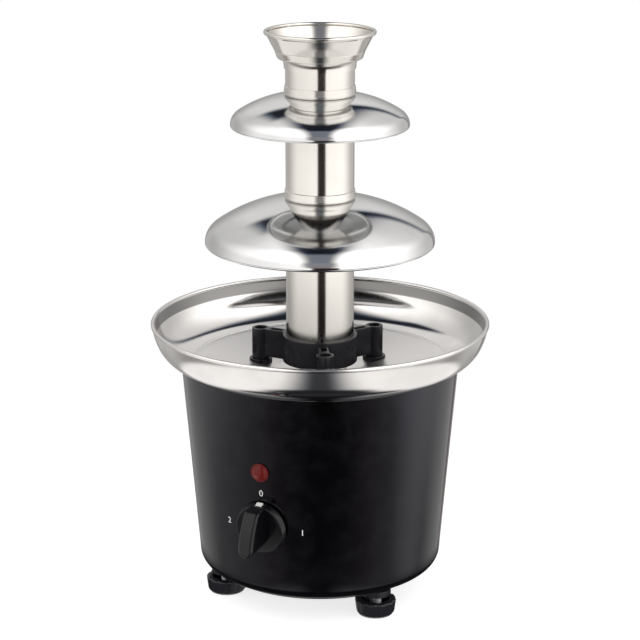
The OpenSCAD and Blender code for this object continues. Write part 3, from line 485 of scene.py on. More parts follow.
# %% Finish the brushed tubes
TUBE_COLOUR = (0.73, 0.70, 0.66)
TUBE_ROUGH = 0.13
STREAK_SCALE = 1500
STREAK_SQUEEZE = (1, 1, 0.02)
STREAK_SWING = 0.08
STAIN_SCALE = 22
STAIN_SWING = 0.05
STAIN_SHADE = 0.88
LOW_SHADE = 0.55
LOW_SPAN = (150 * MM, 255 * MM)
tube_metal = begin("tube_steel")
tube_spot = place(tube_metal)
squeezed = tube_metal.node("ShaderNodeMapping", inputs={"Vector": tube_spot, "Scale": STREAK_SQUEEZE})
streaks = noise(squeezed, STREAK_SCALE, 3)
stains = noise(tube_spot, STAIN_SCALE, 3)
bright_part = mottled(stains, TUBE_COLOUR, STAIN_SHADE)
surface(tube_metal, {
    "Base Color": tube_spot.dot(UP).step(*LOW_SPAN).blend(tone(TUBE_COLOUR, LOW_SHADE), bright_part),
    "Metallic": 1.0,
    "Roughness": rough_about(TUBE_ROUGH, (streaks, STREAK_SWING), (stains, STAIN_SWING)),
    "Normal": bump(streaks, depth=0.002),
})
print("steels:", ", ".join(finishes))

# %% [markdown]
# ### Enamel
#
# The body is sheet steel under black enamel, glossy with the slight orange peel of a sprayed coat. Black
# shows almost only its highlights, and a flat black would look like glass, so a shallow bump and a
# wandering roughness matter more here than the colour.

# %% Finish the enamel
PEEL_SCALE = 420
DUST_SCALE = 90
DUST_SPAN = (0.4, 0.75)
ENAMEL_BLACK = (0.0012, 0.0012, 0.0016, 1)
DUSTY_BLACK = (0.003, 0.003, 0.0035, 1)
enamel = begin("black_enamel")
enamel_spot = place(enamel)
dust = noise(enamel_spot, DUST_SCALE, 4)
surface(enamel, {
    "Base Color": dust.step(*DUST_SPAN).blend(ENAMEL_BLACK, DUSTY_BLACK),
    "Roughness": rough_about(0.11, (dust, 0.1)),
    "Specular IOR Level": 0.54,
    "Specular Tint": (0.84, 0.85, 1.0, 1),
    "Normal": bump(noise(enamel_spot, PEEL_SCALE, 1), depth=0.004),
})
print("enamel nodes:", len(finishes["black_enamel"].node_tree.nodes))

# %% [markdown]
# ### Plastic, rubber and print
#
# The mouldings are black plastic with a finer, drier grain, glossiest on the knob, and rubber is duller
# still. One recipe with a few numbers covers them all and keeps the grain at its real scale.

# %% Finish the mouldings
WEAR_SCALE = 60
WEAR_SHADE = 0.8
WEAR_SWING = 0.12


def moulded(name, colour, rough, grain, depth, shine=0.5):
    """Moulded plastic or rubber: a grain of this many features to the metre, and faint cloudy wear."""
    wire = begin(name)
    spot = place(wire)
    wear = noise(spot, WEAR_SCALE, 3)
    surface(wire, {
        "Base Color": mottled(wear, colour, WEAR_SHADE),
        "Roughness": rough_about(rough, (wear, WEAR_SWING)),
        "Specular IOR Level": shine,
        "Normal": bump(noise(spot, grain, 2), depth),
    })


moulded("black_plastic", (0.016, 0.0147, 0.0185), rough=0.26, grain=2600, depth=0.008, shine=0.36)
moulded("knob_plastic", (0.0035, 0.0033, 0.0045), rough=0.17, grain=2600, depth=0.004, shine=0.3)
moulded("white_plastic", (0.82, 0.82, 0.79), rough=0.34, grain=1800, depth=0.008)
moulded("black_rubber", (0.018, 0.018, 0.019), rough=0.62, grain=2200, depth=0.02)
moulded("grey_rubber", (0.16, 0.16, 0.17), rough=0.7, grain=2200, depth=0.02)
moulded("lead_insulation", (0.46, 0.05, 0.04), rough=0.42, grain=1500, depth=0.008)
moulded("white_print", (0.80, 0.80, 0.80), rough=0.5, grain=3000, depth=0.004)
print("finishes so far:", len(finishes))

# %% [markdown]
# ### Plated and coloured metal, and the lamp
#
# Zinc plate is a soft grey with a cloudy sheen. The pinion and the washer are brass, and the motor's
# winding is copper wire. A real coil would take thousands of points that nobody sees, so a sine wave up
# the axis stands for the turns, and its dark troughs between them are painted shade. The pilot lamp is a
# dull red lens that is unlit, so it only catches the room.

# %% Finish the small metal pieces and the lens
PLATE_SCALE = 180
PLATE_SHADE = 0.75
PLATE_SWING = 0.2
WINDING_WAVES = 5200
RIB_SCALE = 500


def plated(name, colour, rough):
    """A dull metal with a cloudy sheen."""
    wire = begin(name)
    sheen = noise(place(wire), PLATE_SCALE, 4)
    surface(wire, {
        "Base Color": mottled(sheen, colour, PLATE_SHADE),
        "Metallic": 1.0,
        "Roughness": rough_about(rough, (sheen, PLATE_SWING)),
        "Normal": bump(sheen, depth=0.01),
    })


plated("zinc_plate", (0.62, 0.63, 0.65), rough=0.36)
plated("brass", (0.74, 0.55, 0.24), rough=0.28)
copper = begin("copper_winding")
strand = (place(copper).dot(UP) * WINDING_WAVES).math("SINE") * 0.5 + 0.5
surface(copper, {
    # The darker colour in the troughs between the turns is painted shade.
    "Base Color": strand.blend((0.22, 0.08, 0.03, 1), (0.62, 0.28, 0.12, 1)),
    "Metallic": 0.9,
    "Roughness": 0.35,
    "Normal": bump(strand, depth=0.2),
})
lens_red = begin("red_lens")
ribs = noise(place(lens_red), RIB_SCALE, 1)
surface(lens_red, {
    "Base Color": ribs.blend((0.1, 0.004, 0.004, 1), (0.12, 0.006, 0.006, 1)),
    "Roughness": rough_about(0.23, (ribs, 0.06)),
    "Specular IOR Level": 0.2,
    "Normal": bump(ribs, depth=0.0015),
})
print("all finishes:", ", ".join(sorted(finishes)))

# %% [markdown]
# ### Dress the CAD pieces
#
# Most of the inner works, such as the gears and the motor, are right as CAD made them. They need no new
# shape, so each one only trades its plain colour for the finish of its slot.

# %% Give every CAD piece its finish
for cad_piece in nodes.values():
    plain = cad_piece.material_slots[0].material.name
    cad_piece.material_slots[0].material = finishes[plain.split(".")[0]]
print("dressed", len(nodes), "CAD pieces")

# %% [markdown]
# ## Turned pieces
#
# The tower, bowl and body are sheet metal spun round one axis. Polished steel shows every facet of CAD's
# mesh, so they are turned again with a fine, even grid. Blender's Screw modifier could spin an outline,
# but writing the grid out keeps each outline closed and each face four-sided.

# %% Draw outlines
def polar(radius, degrees):
    """A step of this length in a direction, as (outward, up)."""
    angle = math.radians(degrees)
    return Vector((radius * math.cos(angle), radius * math.sin(angle)))


def arc(centre, radius, start, stop, steps):
    """Points along an arc, with angles in degrees from the outward direction."""
    turn = (stop - start) / steps
    return [Vector(centre) + polar(radius, start + turn * i) for i in range(steps + 1)]


def line_between(start, stop, steps):
    """Even points along a straight line, without its ends."""
    return [Vector(start).lerp(Vector(stop), i / steps) for i in range(1, steps)]


print("a quarter arc has", len(arc((0, 0), 1, 0, 90, steps=8)), "points")

# %% Turn an outline about the axis
ROUND_STEPS = 192
SHARP_ANGLE = math.radians(18)


def piece_from(name, points, faces, sharp=SHARP_ANGLE):
    """A smooth mesh object from points in millimetres, creased where faces turn more than an angle."""
    mesh = bpy.data.meshes.new(name)
    mesh.from_pydata([Vector(point) * MM for point in points], [], faces)
    shape = bmesh.new()
    shape.from_mesh(mesh)
    bmesh.ops.recalc_face_normals(shape, faces=shape.faces)
    shape.to_mesh(mesh)
    shape.free()
    mesh.shade_smooth()
    mesh.set_sharp_from_angle(angle=sharp)
    return add_object(name, mesh)


def grid_faces(rings, sides):
    """Quads between rings of points that each close on themselves. The last ring meets the first."""
    return [
        (i * sides + j, i * sides + (j + 1) % sides,
         (i + 1) % rings * sides + (j + 1) % sides, (i + 1) % rings * sides + j)
        for i in range(rings) for j in range(sides)
    ]


def turned(name, outline, steps=ROUND_STEPS):
    """Spins a closed outline of (r, z) points about the axis."""
    angles = [2 * math.pi * i / steps for i in range(steps)]
    points = [(r * math.cos(a), r * math.sin(a), z) for a in angles for r, z in outline]
    return piece_from(name, points, grid_faces(steps, len(outline)))


print("one step of a turned piece:", round(360 / ROUND_STEPS, 3), "degrees")

# %% [markdown]
# ### Dressing a piece
#
# A new piece needs a finish, a body to move with, and the names of the CAD pieces that it stands for,
# which are then hidden. One helper does it all, so that no piece misses a step.


def dress(piece, body, slot, *stands_for, finish=None):
    """Gives a piece its finish and its body, and hides the CAD pieces that it stands for."""
    piece.data.materials.append(finishes[finish or slot])
    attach(piece, body)
    if stands_for:
        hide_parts(*stands_for)
    print(piece.name, "on", body, "with", len(piece.data.vertices), "points")


# %% [markdown]
# ### The tower's tubes
#
# Each upper tube has a bulged bead at its foot that stands on the tube below, and a spigot that slides
# inside it. A torus could be joined on, but one outline keeps the sheet whole: a small step, a round
# crest and a turn inwards, so the bead's edges show as thin lines.

# %% Turn the tubes
SHEET = 0.8
BEAD_HEIGHT = 6.2
BEAD_STEP = 0.5
CREST_R = 1.7
SPIGOT_LENGTH = 18.0
SPIGOT_GAP = 0.15
EDGE_BREAK = 0.2
bore_r = tube_r - SHEET
spigot_r = bore_r - SPIGOT_GAP


def rounded_end(inner_r, outer_r, z, way):
    """A tube's end with its two corners broken, from inside to outside. Way is 1 at the top, -1 below."""
    return [
        (inner_r, z - way * EDGE_BREAK), (inner_r + EDGE_BREAK, z),
        (outer_r - EDGE_BREAK, z), (outer_r, z - way * EDGE_BREAK),
    ]


def beaded_outline(low_z, top_z):
    """The section of a tube with a bead and a spigot."""
    bead_low = low_z + SPIGOT_LENGTH
    bead_top = bead_low + BEAD_HEIGHT
    crest_c = (bead_out_r - CREST_R, bead_low + CREST_R)
    step = [(tube_r + BEAD_STEP, bead_top - BEAD_STEP / 2), (tube_r, bead_top)]
    inside = [(bore_r, bead_top), (spigot_r - SHEET, bead_low)]
    return (
        rounded_end(spigot_r - SHEET, spigot_r, low_z, -1) + [(spigot_r, bead_low)]
        + arc(crest_c, CREST_R, -75, 12, steps=14) + step
        + rounded_end(bore_r, tube_r, top_z, 1)[::-1] + inside
    )


tube_foot = rounded_end(bore_r, tube_r, lower_tube_low, -1)
tube_head = rounded_end(bore_r, tube_r, lower_hub_z, 1)
for tube, section, tube_outline in (
    ("lower_tube", "tower_base", tube_foot + tube_head[::-1]),
    ("middle_tube", "tower_middle", beaded_outline(middle_low, upper_hub_z)),
    ("top_tube", "tower_top", beaded_outline(top_low, tube_top_z)),
):
    dress(turned(tube + "_turned", tube_outline), section, "tube_steel", tube)

# %% [markdown]
# ### The tiers
#
# A tier is a shallow dome that turns down at a shoulder and ends in a rolled edge, where the chocolate
# lets go in a curtain. A squashed sphere would bend too evenly, so two arcs that share a tangent make
# the outside, and the sheet's thickness makes the inside.

# %% Turn the tiers
FIT_GAP = 0.05
HUB_SLOPE = 6.7
NECK_LENGTH = 5.0
UNDER_OVERLAP = 1.1


def tier_outline(edge_x, hub_z, break_slope, shoulder_r, roll_r):
    """The section of a tier: up its neck, out over the dome, round the edge and back underneath."""
    hub_r = tube_r + FIT_GAP
    hub_sine = math.sin(math.radians(HUB_SLOPE))
    break_sine = math.sin(math.radians(break_slope))
    dome_r = (edge_x - hub_r - shoulder_r * (1 - break_sine)) / (break_sine - hub_sine)
    dome_c = Vector((hub_r, hub_z)) - polar(dome_r, 90 - HUB_SLOPE)
    shoulder_c = dome_c + polar(dome_r - shoulder_r, 90 - break_slope)
    roll_c = (edge_x - roll_r, shoulder_c.y)
    under_from = math.degrees(math.asin(UNDER_OVERLAP * roll_r / (shoulder_r - SHEET)))
    under_hub = math.degrees(math.acos((hub_r + SHEET - dome_c.x) / (dome_r - SHEET)))
    return (
        [(hub_r, hub_z - NECK_LENGTH)]
        + arc(dome_c, dome_r, 90 - HUB_SLOPE, 90 - break_slope, steps=30)
        + arc(shoulder_c, shoulder_r, 90 - break_slope, 0, steps=18)[1:]
        + arc(roll_c, roll_r, 0, -250, steps=20)[1:]
        + arc(shoulder_c, shoulder_r - SHEET, under_from, 90 - break_slope, steps=14)
        + arc(dome_c, dome_r - SHEET, 90 - break_slope, under_hub, steps=30)[1:]
        + [(hub_r + SHEET, hub_z - NECK_LENGTH)]
    )


lower_outline = tier_outline(lower_tier_r, lower_hub_z, break_slope=35, shoulder_r=12.7, roll_r=1.9)
dress(turned("lower_tier_spun", lower_outline), "tower_base", "tier_steel", "lower_tier")
upper_outline = tier_outline(upper_tier_r, upper_hub_z, break_slope=33.5, shoulder_r=9, roll_r=1.45)
dress(turned("upper_tier_spun", upper_outline), "tower_middle", "tier_steel", "upper_tier")

# %% [markdown]
# ### The crown
#
# The crown is a small cup over the top tube. The chocolate wells up in it and spills over its rolled
# rim. A shoulder swings out of the neck, and the side opens towards the rim, with a fine groove where it
# bends. Straight lines would show as cones in the steel, so a smooth curve runs through a few points.

# %% Draw the crown's side
CROWN_NECK = 6.0
CROWN_FOOT_R = 27.4
FILLET_R = 1.6
FILLET_STOP = -20
CROWN_BEAD_R = 1.3
LIP_IN = 0.4
BEND_UP = 0.28
BEND_OUT = 0.2
GROOVE = 0.35
GROOVE_LEAN = 0.1
crown_z = crown_neck_z + CROWN_NECK
rim_c = Vector((crown_r - CROWN_BEAD_R, crown_top_z - CROWN_BEAD_R))
lip = rim_c - Vector((LIP_IN, CROWN_BEAD_R))
bend_r = CROWN_FOOT_R + BEND_OUT * (lip.x - CROWN_FOOT_R)
bend = Vector((bend_r, crown_z + BEND_UP * (crown_top_z - crown_z)))
fillet_c = (CROWN_FOOT_R - FILLET_R, crown_z + FILLET_R)


def through(points, steps=8):
    """A smooth curve through points: each span is a Catmull-Rom piece."""
    ends = [2 * points[0] - points[1], *points, 2 * points[-1] - points[-2]]
    curve = []
    for a, b, c, d in zip(ends, ends[1:], ends[2:], ends[3:]):
        for i in range(steps):
            t = i / steps
            square = (2 * a - 5 * b + 4 * c - d) * t ** 2
            cube = (3 * b - a - 3 * c + d) * t ** 3
            curve.append(0.5 * (2 * b + (c - a) * t + square + cube))
    return curve + [points[-1]]


crown_foot = arc(fillet_c, FILLET_R, -90, FILLET_STOP, steps=8)
groove = Vector((GROOVE, 0))
groove_side = Vector((GROOVE_LEAN, GROOVE))
cup_side = (
    through([crown_foot[-1], bend.lerp(crown_foot[-1], 0.5), bend - groove_side]) + [bend - groove]
    + through([bend + groove_side, bend.lerp(lip, 0.5), lip])
)
print("the cup bends at", [round(x, 1) for x in bend])

# %% Turn the crown
CROWN_FLARE = 1.0
FLARE_STEPS = 8
neck_r = tube_r + FIT_GAP
inner_foot = arc(fillet_c, FILLET_R - SHEET, FILLET_STOP, -90, steps=8)
inward = Vector((SHEET, 0))
inner_side = through([lip - inward, bend - inward, inner_foot[0]])
flare = []
for i in range(FLARE_STEPS + 1):
    share = i / FLARE_STEPS
    flare.append((neck_r + SHEET + CROWN_FLARE * share ** 2, crown_neck_z + CROWN_NECK * share))
crown_outline = (
    [(neck_r, crown_neck_z)] + flare + crown_foot + cup_side[1:-1]
    + arc(rim_c, CROWN_BEAD_R, -75, 225, steps=22)
    + inner_side[:-1] + inner_foot + [(neck_r, crown_z + SHEET)]
)
dress(turned("crown_spun", crown_outline), "tower_top", "tube_steel", "crown")

# %% [markdown]
# ### The bowl
#
# The bowl's side leans out to a rolled rim, turns under through a tight knee and runs down a shallow
# cone, so that the chocolate flows to the auger. A pressed ring stiffens the cone. A subdivided cup
# would blur the knee, so arcs that share their tangents draw the outside, and the same arcs less the
# sheet's thickness draw the inside. Other mirrors don't see the bowl, which keeps the lower tube calm.

# %% Draw the bowl's floor and knee
SIDE_R = 47.0
KNEE_R = 23.0
RIM_BEAD_R = 1.3
RIM_SLOPE = 10.0
SIDE_SLOPE = 24.0
FLOOR_SLOPE = 10.0
FLAT_R = 30.0
FLOOR_RING_R = 83.0
FLOOR_RING_W = 2.4
FLOOR_RING_H = 0.4
FLOOR_RING_STEPS = 8
bead_c = Vector((bowl_r - RIM_BEAD_R, bowl_top_z - RIM_BEAD_R))
side_c = bead_c + polar(RIM_BEAD_R, -60) - polar(SIDE_R, -RIM_SLOPE)
knee_c = side_c + polar(SIDE_R - KNEE_R, -SIDE_SLOPE)
outer_knee = arc(knee_c, KNEE_R, -SIDE_SLOPE, FLOOR_SLOPE - 90, steps=24)
inner_knee = arc(knee_c, KNEE_R - SHEET, FLOOR_SLOPE - 90, -SIDE_SLOPE, steps=24)
flat_inner_r = FLAT_R - SHEET * math.tan(math.radians(FLOOR_SLOPE / 2))
outer_flat = (FLAT_R, bowl_low_z)
inner_flat = (flat_inner_r, bowl_low_z + SHEET)
ring_share = (FLOOR_RING_R - flat_inner_r) / (inner_knee[0].x - flat_inner_r)
ring_c = Vector(inner_flat).lerp(inner_knee[0], ring_share)
floor_ring = []
for i in range(FLOOR_RING_STEPS + 1):
    share = i / FLOOR_RING_STEPS
    lift = Vector((0, FLOOR_RING_H * math.sin(math.pi * share) ** 2))
    floor_ring.append(ring_c + polar(FLOOR_RING_W * (share - 0.5), FLOOR_SLOPE) + lift)
print("the floor meets the knee at", [round(x, 1) for x in inner_knee[0]])

# %% Turn the bowl
SEAL_HOLE_R = 6.05
ROLL_OVERLAP = 1.25
inside_rise = side_c.y - bead_c.y + ROLL_OVERLAP * RIM_BEAD_R
inside_slope = math.degrees(math.asin(inside_rise / (SIDE_R - SHEET)))
bowl_outline = (
    [(SEAL_HOLE_R, bowl_low_z + SHEET), inner_flat] + line_between(inner_flat, floor_ring[0], 16)
    + floor_ring + line_between(floor_ring[-1], inner_knee[0], 4) + inner_knee
    + arc(side_c, SIDE_R - SHEET, -SIDE_SLOPE, -inside_slope, steps=14)[1:]
    + arc(bead_c, RIM_BEAD_R, 240, -60, steps=26)
    + arc(side_c, SIDE_R, -RIM_SLOPE, -SIDE_SLOPE, steps=14)[1:] + outer_knee[1:]
    + line_between(outer_knee[-1], outer_flat, 16) + [outer_flat, (SEAL_HOLE_R, bowl_low_z)]
)
bowl = turned("bowl_spun", bowl_outline)
bowl.visible_glossy = False
dress(bowl, "base", "bowl_steel", "bowl")

# %% [markdown]
# ### The body
#
# The body is a tapered shell with a rounded bottom edge, turned like the rest. The hole at the back
# could be left out of the grid by hand, but a Boolean modifier that is applied straight away cuts it
# cleaner.

# %% Measure the body's wall
BODY_BASE_R = 79.3
BODY_EDGE_R = 8.7
body_tilt = math.atan((body_top_r - BODY_BASE_R) / (body_top_z - body_low_z))
body_edge_in = BODY_EDGE_R * (1 - math.sin(body_tilt)) / math.cos(body_tilt)
body_edge_c = (BODY_BASE_R - body_edge_in, body_low_z + BODY_EDGE_R)


def body_r(z):
    """The body's outside radius at a height."""
    return BODY_BASE_R + (z - body_low_z) * math.tan(body_tilt)


def on_wall(z, back=False):
    """Where a fitting sits on the body: +Z straight out of the wall and +Y up it, in millimetres."""
    out = Matrix.Translation((0, -body_r(z), z)) @ Matrix.Rotation(math.pi / 2 + body_tilt, 4, "X")
    return Matrix.Rotation(math.pi if back else 0, 4, "Z") @ out


print("the wall leans out by", round(math.degrees(body_tilt), 2), "degrees")

# %% Cut a round hole
def final_mesh(piece):
    """A piece's mesh with its modifiers applied."""
    state = bpy.context.evaluated_depsgraph_get()
    return bpy.data.meshes.new_from_object(piece.evaluated_get(state))


def cut_round_hole(piece, matrix, radius, depth):
    """Drills a round hole along a place's Z."""
    shape = bmesh.new()
    sizes = {"radius1": radius, "radius2": radius, "depth": depth}
    bmesh.ops.create_cone(shape, cap_ends=True, segments=48, matrix=matrix, **sizes)
    bmesh.ops.scale(shape, vec=(MM, MM, MM), verts=shape.verts)
    mesh = bpy.data.meshes.new("drill")
    shape.to_mesh(mesh)
    shape.free()
    drill = add_object("drill", mesh)
    cut = piece.modifiers.new("hole", "BOOLEAN")
    cut.object = drill
    cut.solver = "EXACT"
    piece.data = final_mesh(piece)
    piece.modifiers.clear()
    bpy.data.objects.remove(drill)


print("drill ready")

# %% Turn the body
BODY_OPENING_R = 48.0
WALL_STEPS = 28
INLET_Z = 42.0
INLET_HOLE_R = 6.2
tilt_degrees = math.degrees(body_tilt)
wall_top = Vector((body_top_r, body_top_z))
inner_top = wall_top - Vector((SHEET, 0))
outer_edge = arc(body_edge_c, BODY_EDGE_R, -90, -tilt_degrees, steps=20)
inner_edge = arc(body_edge_c, BODY_EDGE_R - SHEET, -tilt_degrees, -90, steps=20)
body_outline = (
    [(BODY_OPENING_R, body_low_z)] + outer_edge + line_between(outer_edge[-1], wall_top, WALL_STEPS)
    + [wall_top, inner_top] + line_between(inner_top, inner_edge[0], WALL_STEPS) + inner_edge
    + [(BODY_OPENING_R, body_low_z + SHEET)]
)
shell = turned("body_spun", body_outline)
cut_round_hole(shell, on_wall(INLET_Z, back=True), INLET_HOLE_R, depth=10)
shell.data.set_sharp_from_angle(angle=SHARP_ANGLE)
dress(shell, "base", "black_enamel", "body_shell")

# %% [markdown]
# ## Moulded pieces
#
# Injection moulding never leaves a sharp edge, and CAD's corners are crisp. The shapes are right, so
# nothing is modelled again: each moulding is copied, its flat faces are merged, and a Bevel modifier
# with hardened normals rounds its edges.

# %% Round the edges of a moulding
SAME_POINT = 0.002
FLAT_ANGLE = math.radians(0.5)
EDGE_ANGLE = math.radians(35)


def softened(node, width):
    """A copy of a CAD piece with its edges rounded to this many millimetres."""
    shape = bmesh.new()
    shape.from_mesh(nodes[node].data)
    bmesh.ops.remove_doubles(shape, verts=shape.verts, dist=SAME_POINT * MM)
    bmesh.ops.dissolve_limit(shape, angle_limit=FLAT_ANGLE, verts=shape.verts, edges=shape.edges)
    mesh = bpy.data.meshes.new(node + "_moulded")
    shape.to_mesh(mesh)
    shape.free()
    for stored in ("custom_normal", "sharp_edge", "sharp_face"):
        if stored in mesh.attributes:
            mesh.attributes.remove(mesh.attributes[stored])
    mesh.shade_smooth()
    piece = add_object(node + "_moulded", mesh)
    rounding = piece.modifiers.new("rounding", "BEVEL")
    rounding.width = width * MM
    rounding.segments = 3
    rounding.limit_method = "ANGLE"
    rounding.angle_limit = EDGE_ANGLE
    rounding.use_clamp_overlap = False
    rounding.harden_normals = True
    return piece


for moulding, carrier, stuff, width in (
    ("tower_stand", "tower_base", "black_plastic", 0.45),
    ("pin_collars", "base", "black_plastic", 0.4),
    ("cord_inlet", "base", "black_rubber", 0.5),
):
    dress(softened(moulding, width), carrier, stuff, moulding)

# %% [markdown]
# ## The knob
#
# The knob is one moulding: a round skirt, and a grip that starts low at the pointer, swells, and stands
# proud at its round lower end. One mesh with a cut where they meet would crease there, so the skirt is
# turned and the grip is a piece of its own, sunk a little into it.

# %% Turn the knob's skirt
KNOB_Z = 68.5
KNOB_GAP = 1.2
SKIRT_R = 17.0
SKIRT_HEIGHT = 4.0
SKIRT_BEVEL = 1.2
SKIRT_ROUND = 0.8
RECESS_R = 8.0
RECESS_DEPTH = 2.2
SPINDLE_R = 3.0


def set_on_wall(piece, z):
    """Moves a piece's mesh from the origin to its place on the front of the body."""
    placing = on_wall(z)
    placing.translation *= MM
    piece.data.transform(placing)


skirt_c = (SKIRT_R - SKIRT_BEVEL - SKIRT_ROUND / 2, SKIRT_HEIGHT - SKIRT_ROUND)
skirt_outline = (
    [(SPINDLE_R, RECESS_DEPTH), (RECESS_R, RECESS_DEPTH), (RECESS_R, 0), (SKIRT_R - EDGE_BREAK, 0)]
    + [(SKIRT_R, EDGE_BREAK)] + arc(skirt_c, SKIRT_ROUND, 16, 90, steps=6) + [(SPINDLE_R, SKIRT_HEIGHT)]
)
skirt = turned("knob_skirt", [(r, z + KNOB_GAP) for r, z in skirt_outline], steps=96)
set_on_wall(skirt, KNOB_Z)
dress(skirt, "knob", "black_plastic", "control_knob", finish="knob_plastic")

# %% [markdown]
# ### The knob's grip
#
# The grip is lofted: cross-sections are placed along it and joined. A bevelled prism would keep one
# flat, sloping top. Here each section has its own height and rounded corners, so the top curves and the
# light rolls over its edge.

# %% Loft the knob's grip
GRIP_WIDTH = 10.0
GRIP_TOP = 15.6
GRIP_LOW = -11.0
GRIP_AT_TOP = 13.9
GRIP_PROUD = 25.5
GRIP_SWELL = 1.8
GRIP_ROUND = 2.4
GRIP_END = 0.3
GRIP_ROWS = 48
SOFT_ANGLE = math.radians(40)
half_width = GRIP_WIDTH / 2
half_length = (GRIP_TOP - GRIP_LOW) / 2
grip_foot = KNOB_GAP + SKIRT_HEIGHT - SKIRT_ROUND


def grip_section(y):
    """The grip's cross-section at a distance up the wall: two sides, and a top with round corners."""
    along = (GRIP_TOP - y) / (GRIP_TOP - GRIP_LOW)
    proud = GRIP_AT_TOP + (GRIP_PROUD - GRIP_AT_TOP) * (1 - (1 - along) ** GRIP_SWELL)
    from_end = max(0, min(GRIP_TOP - y, y - GRIP_LOW, GRIP_ROUND))
    drop = GRIP_ROUND - math.sqrt(GRIP_ROUND ** 2 - (GRIP_ROUND - from_end) ** 2)
    past_round = min(half_width, max(0, GRIP_LOW + half_width - y))
    half = max(GRIP_END, math.sqrt(half_width ** 2 - past_round ** 2))
    corner = min(GRIP_ROUND, half)
    right = arc((half - corner, KNOB_GAP + proud - drop - corner), corner, 0, 90, steps=8)
    left = [Vector((-x, z)) for x, z in reversed(right)]
    return [Vector((half, grip_foot)), *right, *left, Vector((-half, grip_foot))]


def capped_faces(rings, sides):
    """Quads from ring to ring, and a face over each end."""
    caps = [tuple(range(sides)), tuple(range((rings - 1) * sides, rings * sides))]
    return grid_faces(rings, sides)[:-sides] + caps


grip_points = []
for i in range(GRIP_ROWS + 1):
    row_y = GRIP_LOW + half_length * (1 + math.cos(math.pi * i / GRIP_ROWS))
    grip_points += [(x, row_y, z) for x, z in grip_section(row_y)]
grip_faces = capped_faces(GRIP_ROWS + 1, len(grip_section(0)))
grip = piece_from("knob_grip", grip_points, grip_faces, SOFT_ANGLE)
set_on_wall(grip, KNOB_Z)
dress(grip, "knob", "black_plastic", "control_knob", finish="knob_plastic")

# %% [markdown]
# ## The lamp's lens
#
# A small domed lens in a flange. Half a sphere would stand too proud, so the dome is a shallow cap,
# turned about its own axis and set on the wall. Its outline stops just short of the axis, so that every
# face stays four-sided.

# %% Turn the lens
LAMP_Z = 105.8
LENS_R = 6.1
LENS_FLANGE = 1.2
LENS_ROUND = 0.4
LENS_RISE = 2.6
LENS_STEP = 0.9
LENS_PIN_R = 0.01
CAP_STOP = 89.9
cap_base_r = LENS_R - LENS_STEP
cap_r = cap_base_r ** 2 / (2 * LENS_RISE) + LENS_RISE / 2
cap_start = 90 - math.degrees(math.asin(cap_base_r / cap_r))
cap_c = (0, FIT_GAP + LENS_FLANGE + LENS_RISE - cap_r)
flange_c = (LENS_R - LENS_ROUND, FIT_GAP + LENS_FLANGE - LENS_ROUND)
lens_outline = (
    [(LENS_PIN_R, FIT_GAP), (LENS_R - EDGE_BREAK, FIT_GAP), (LENS_R, FIT_GAP + EDGE_BREAK)]
    + arc(flange_c, LENS_ROUND, 0, 90, steps=6) + arc(cap_c, cap_r, cap_start, CAP_STOP, steps=14)
)
lens = turned("lamp_lens_turned", lens_outline, steps=64)
set_on_wall(lens, LAMP_Z)
dress(lens, "base", "red_lens", "lamp_lens")

# %% [markdown]
# ## The auger's flight
#
# The flight is one ribbon wound round the core. A Screw modifier could wind a line into a thin sheet,
# but sweeping a closed section in fine steps gives the taper and the rounded tip that it has as it
# leaves the mould.

# %% Wind the flight
FLIGHT_PITCH = 38.0
FLIGHT_THICK = 2.2
FLIGHT_TIP = 1.5
CORE_R = 6.0
TURN_STEPS = 56
flight_r, flight_low, flight_high = reach("auger_flight")
tip_c = (flight_r - FLIGHT_TIP / 2, FLIGHT_THICK / 2)
tip = arc(tip_c, FLIGHT_TIP / 2, -80, 80, steps=8)
flight_section = [(CORE_R, 0), *tip, (CORE_R, FLIGHT_THICK)]
rise = flight_high - flight_low - FLIGHT_THICK
cuts = round(rise / FLIGHT_PITCH * TURN_STEPS)
flight_points = []
for i in range(cuts + 1):
    angle = 2 * math.pi * rise / FLIGHT_PITCH * i / cuts
    cut_z = flight_low + rise * i / cuts
    flight_points += [(r * math.cos(angle), r * math.sin(angle), cut_z + z) for r, z in flight_section]
flight = piece_from("auger_flight_wound", flight_points, capped_faces(cuts + 1, len(flight_section)))
dress(flight, "auger", "white_plastic", "auger_flight")

# %% [markdown]
# ## The feet
#
# A foot is a small screw knob with a hollow top and twelve shallow flutes for the fingers. A Boolean
# would leave sharp ends, so the outline is turned and its outer side dips in at each flute.

# %% Flute the foot knobs
FEET = ("left", "right", "rear")
FLUTES = 12
FLUTE_DEPTH = 0.7
FLUTE_FULLNESS = 0.7
FLUTE_STEPS = 12
FOOT_TAPER = 0.9
FOOT_ROUND = 1.1
FOOT_WALL = 4.1
FOOT_HOLLOW = 4.6
STUD_R = 4.05


def upright(low, high):
    """A round node's middle, radius, lowest and highest level, from the corners of its box."""
    return (low + high) / 2, (high.x - low.x) / 2, low.z, high.z


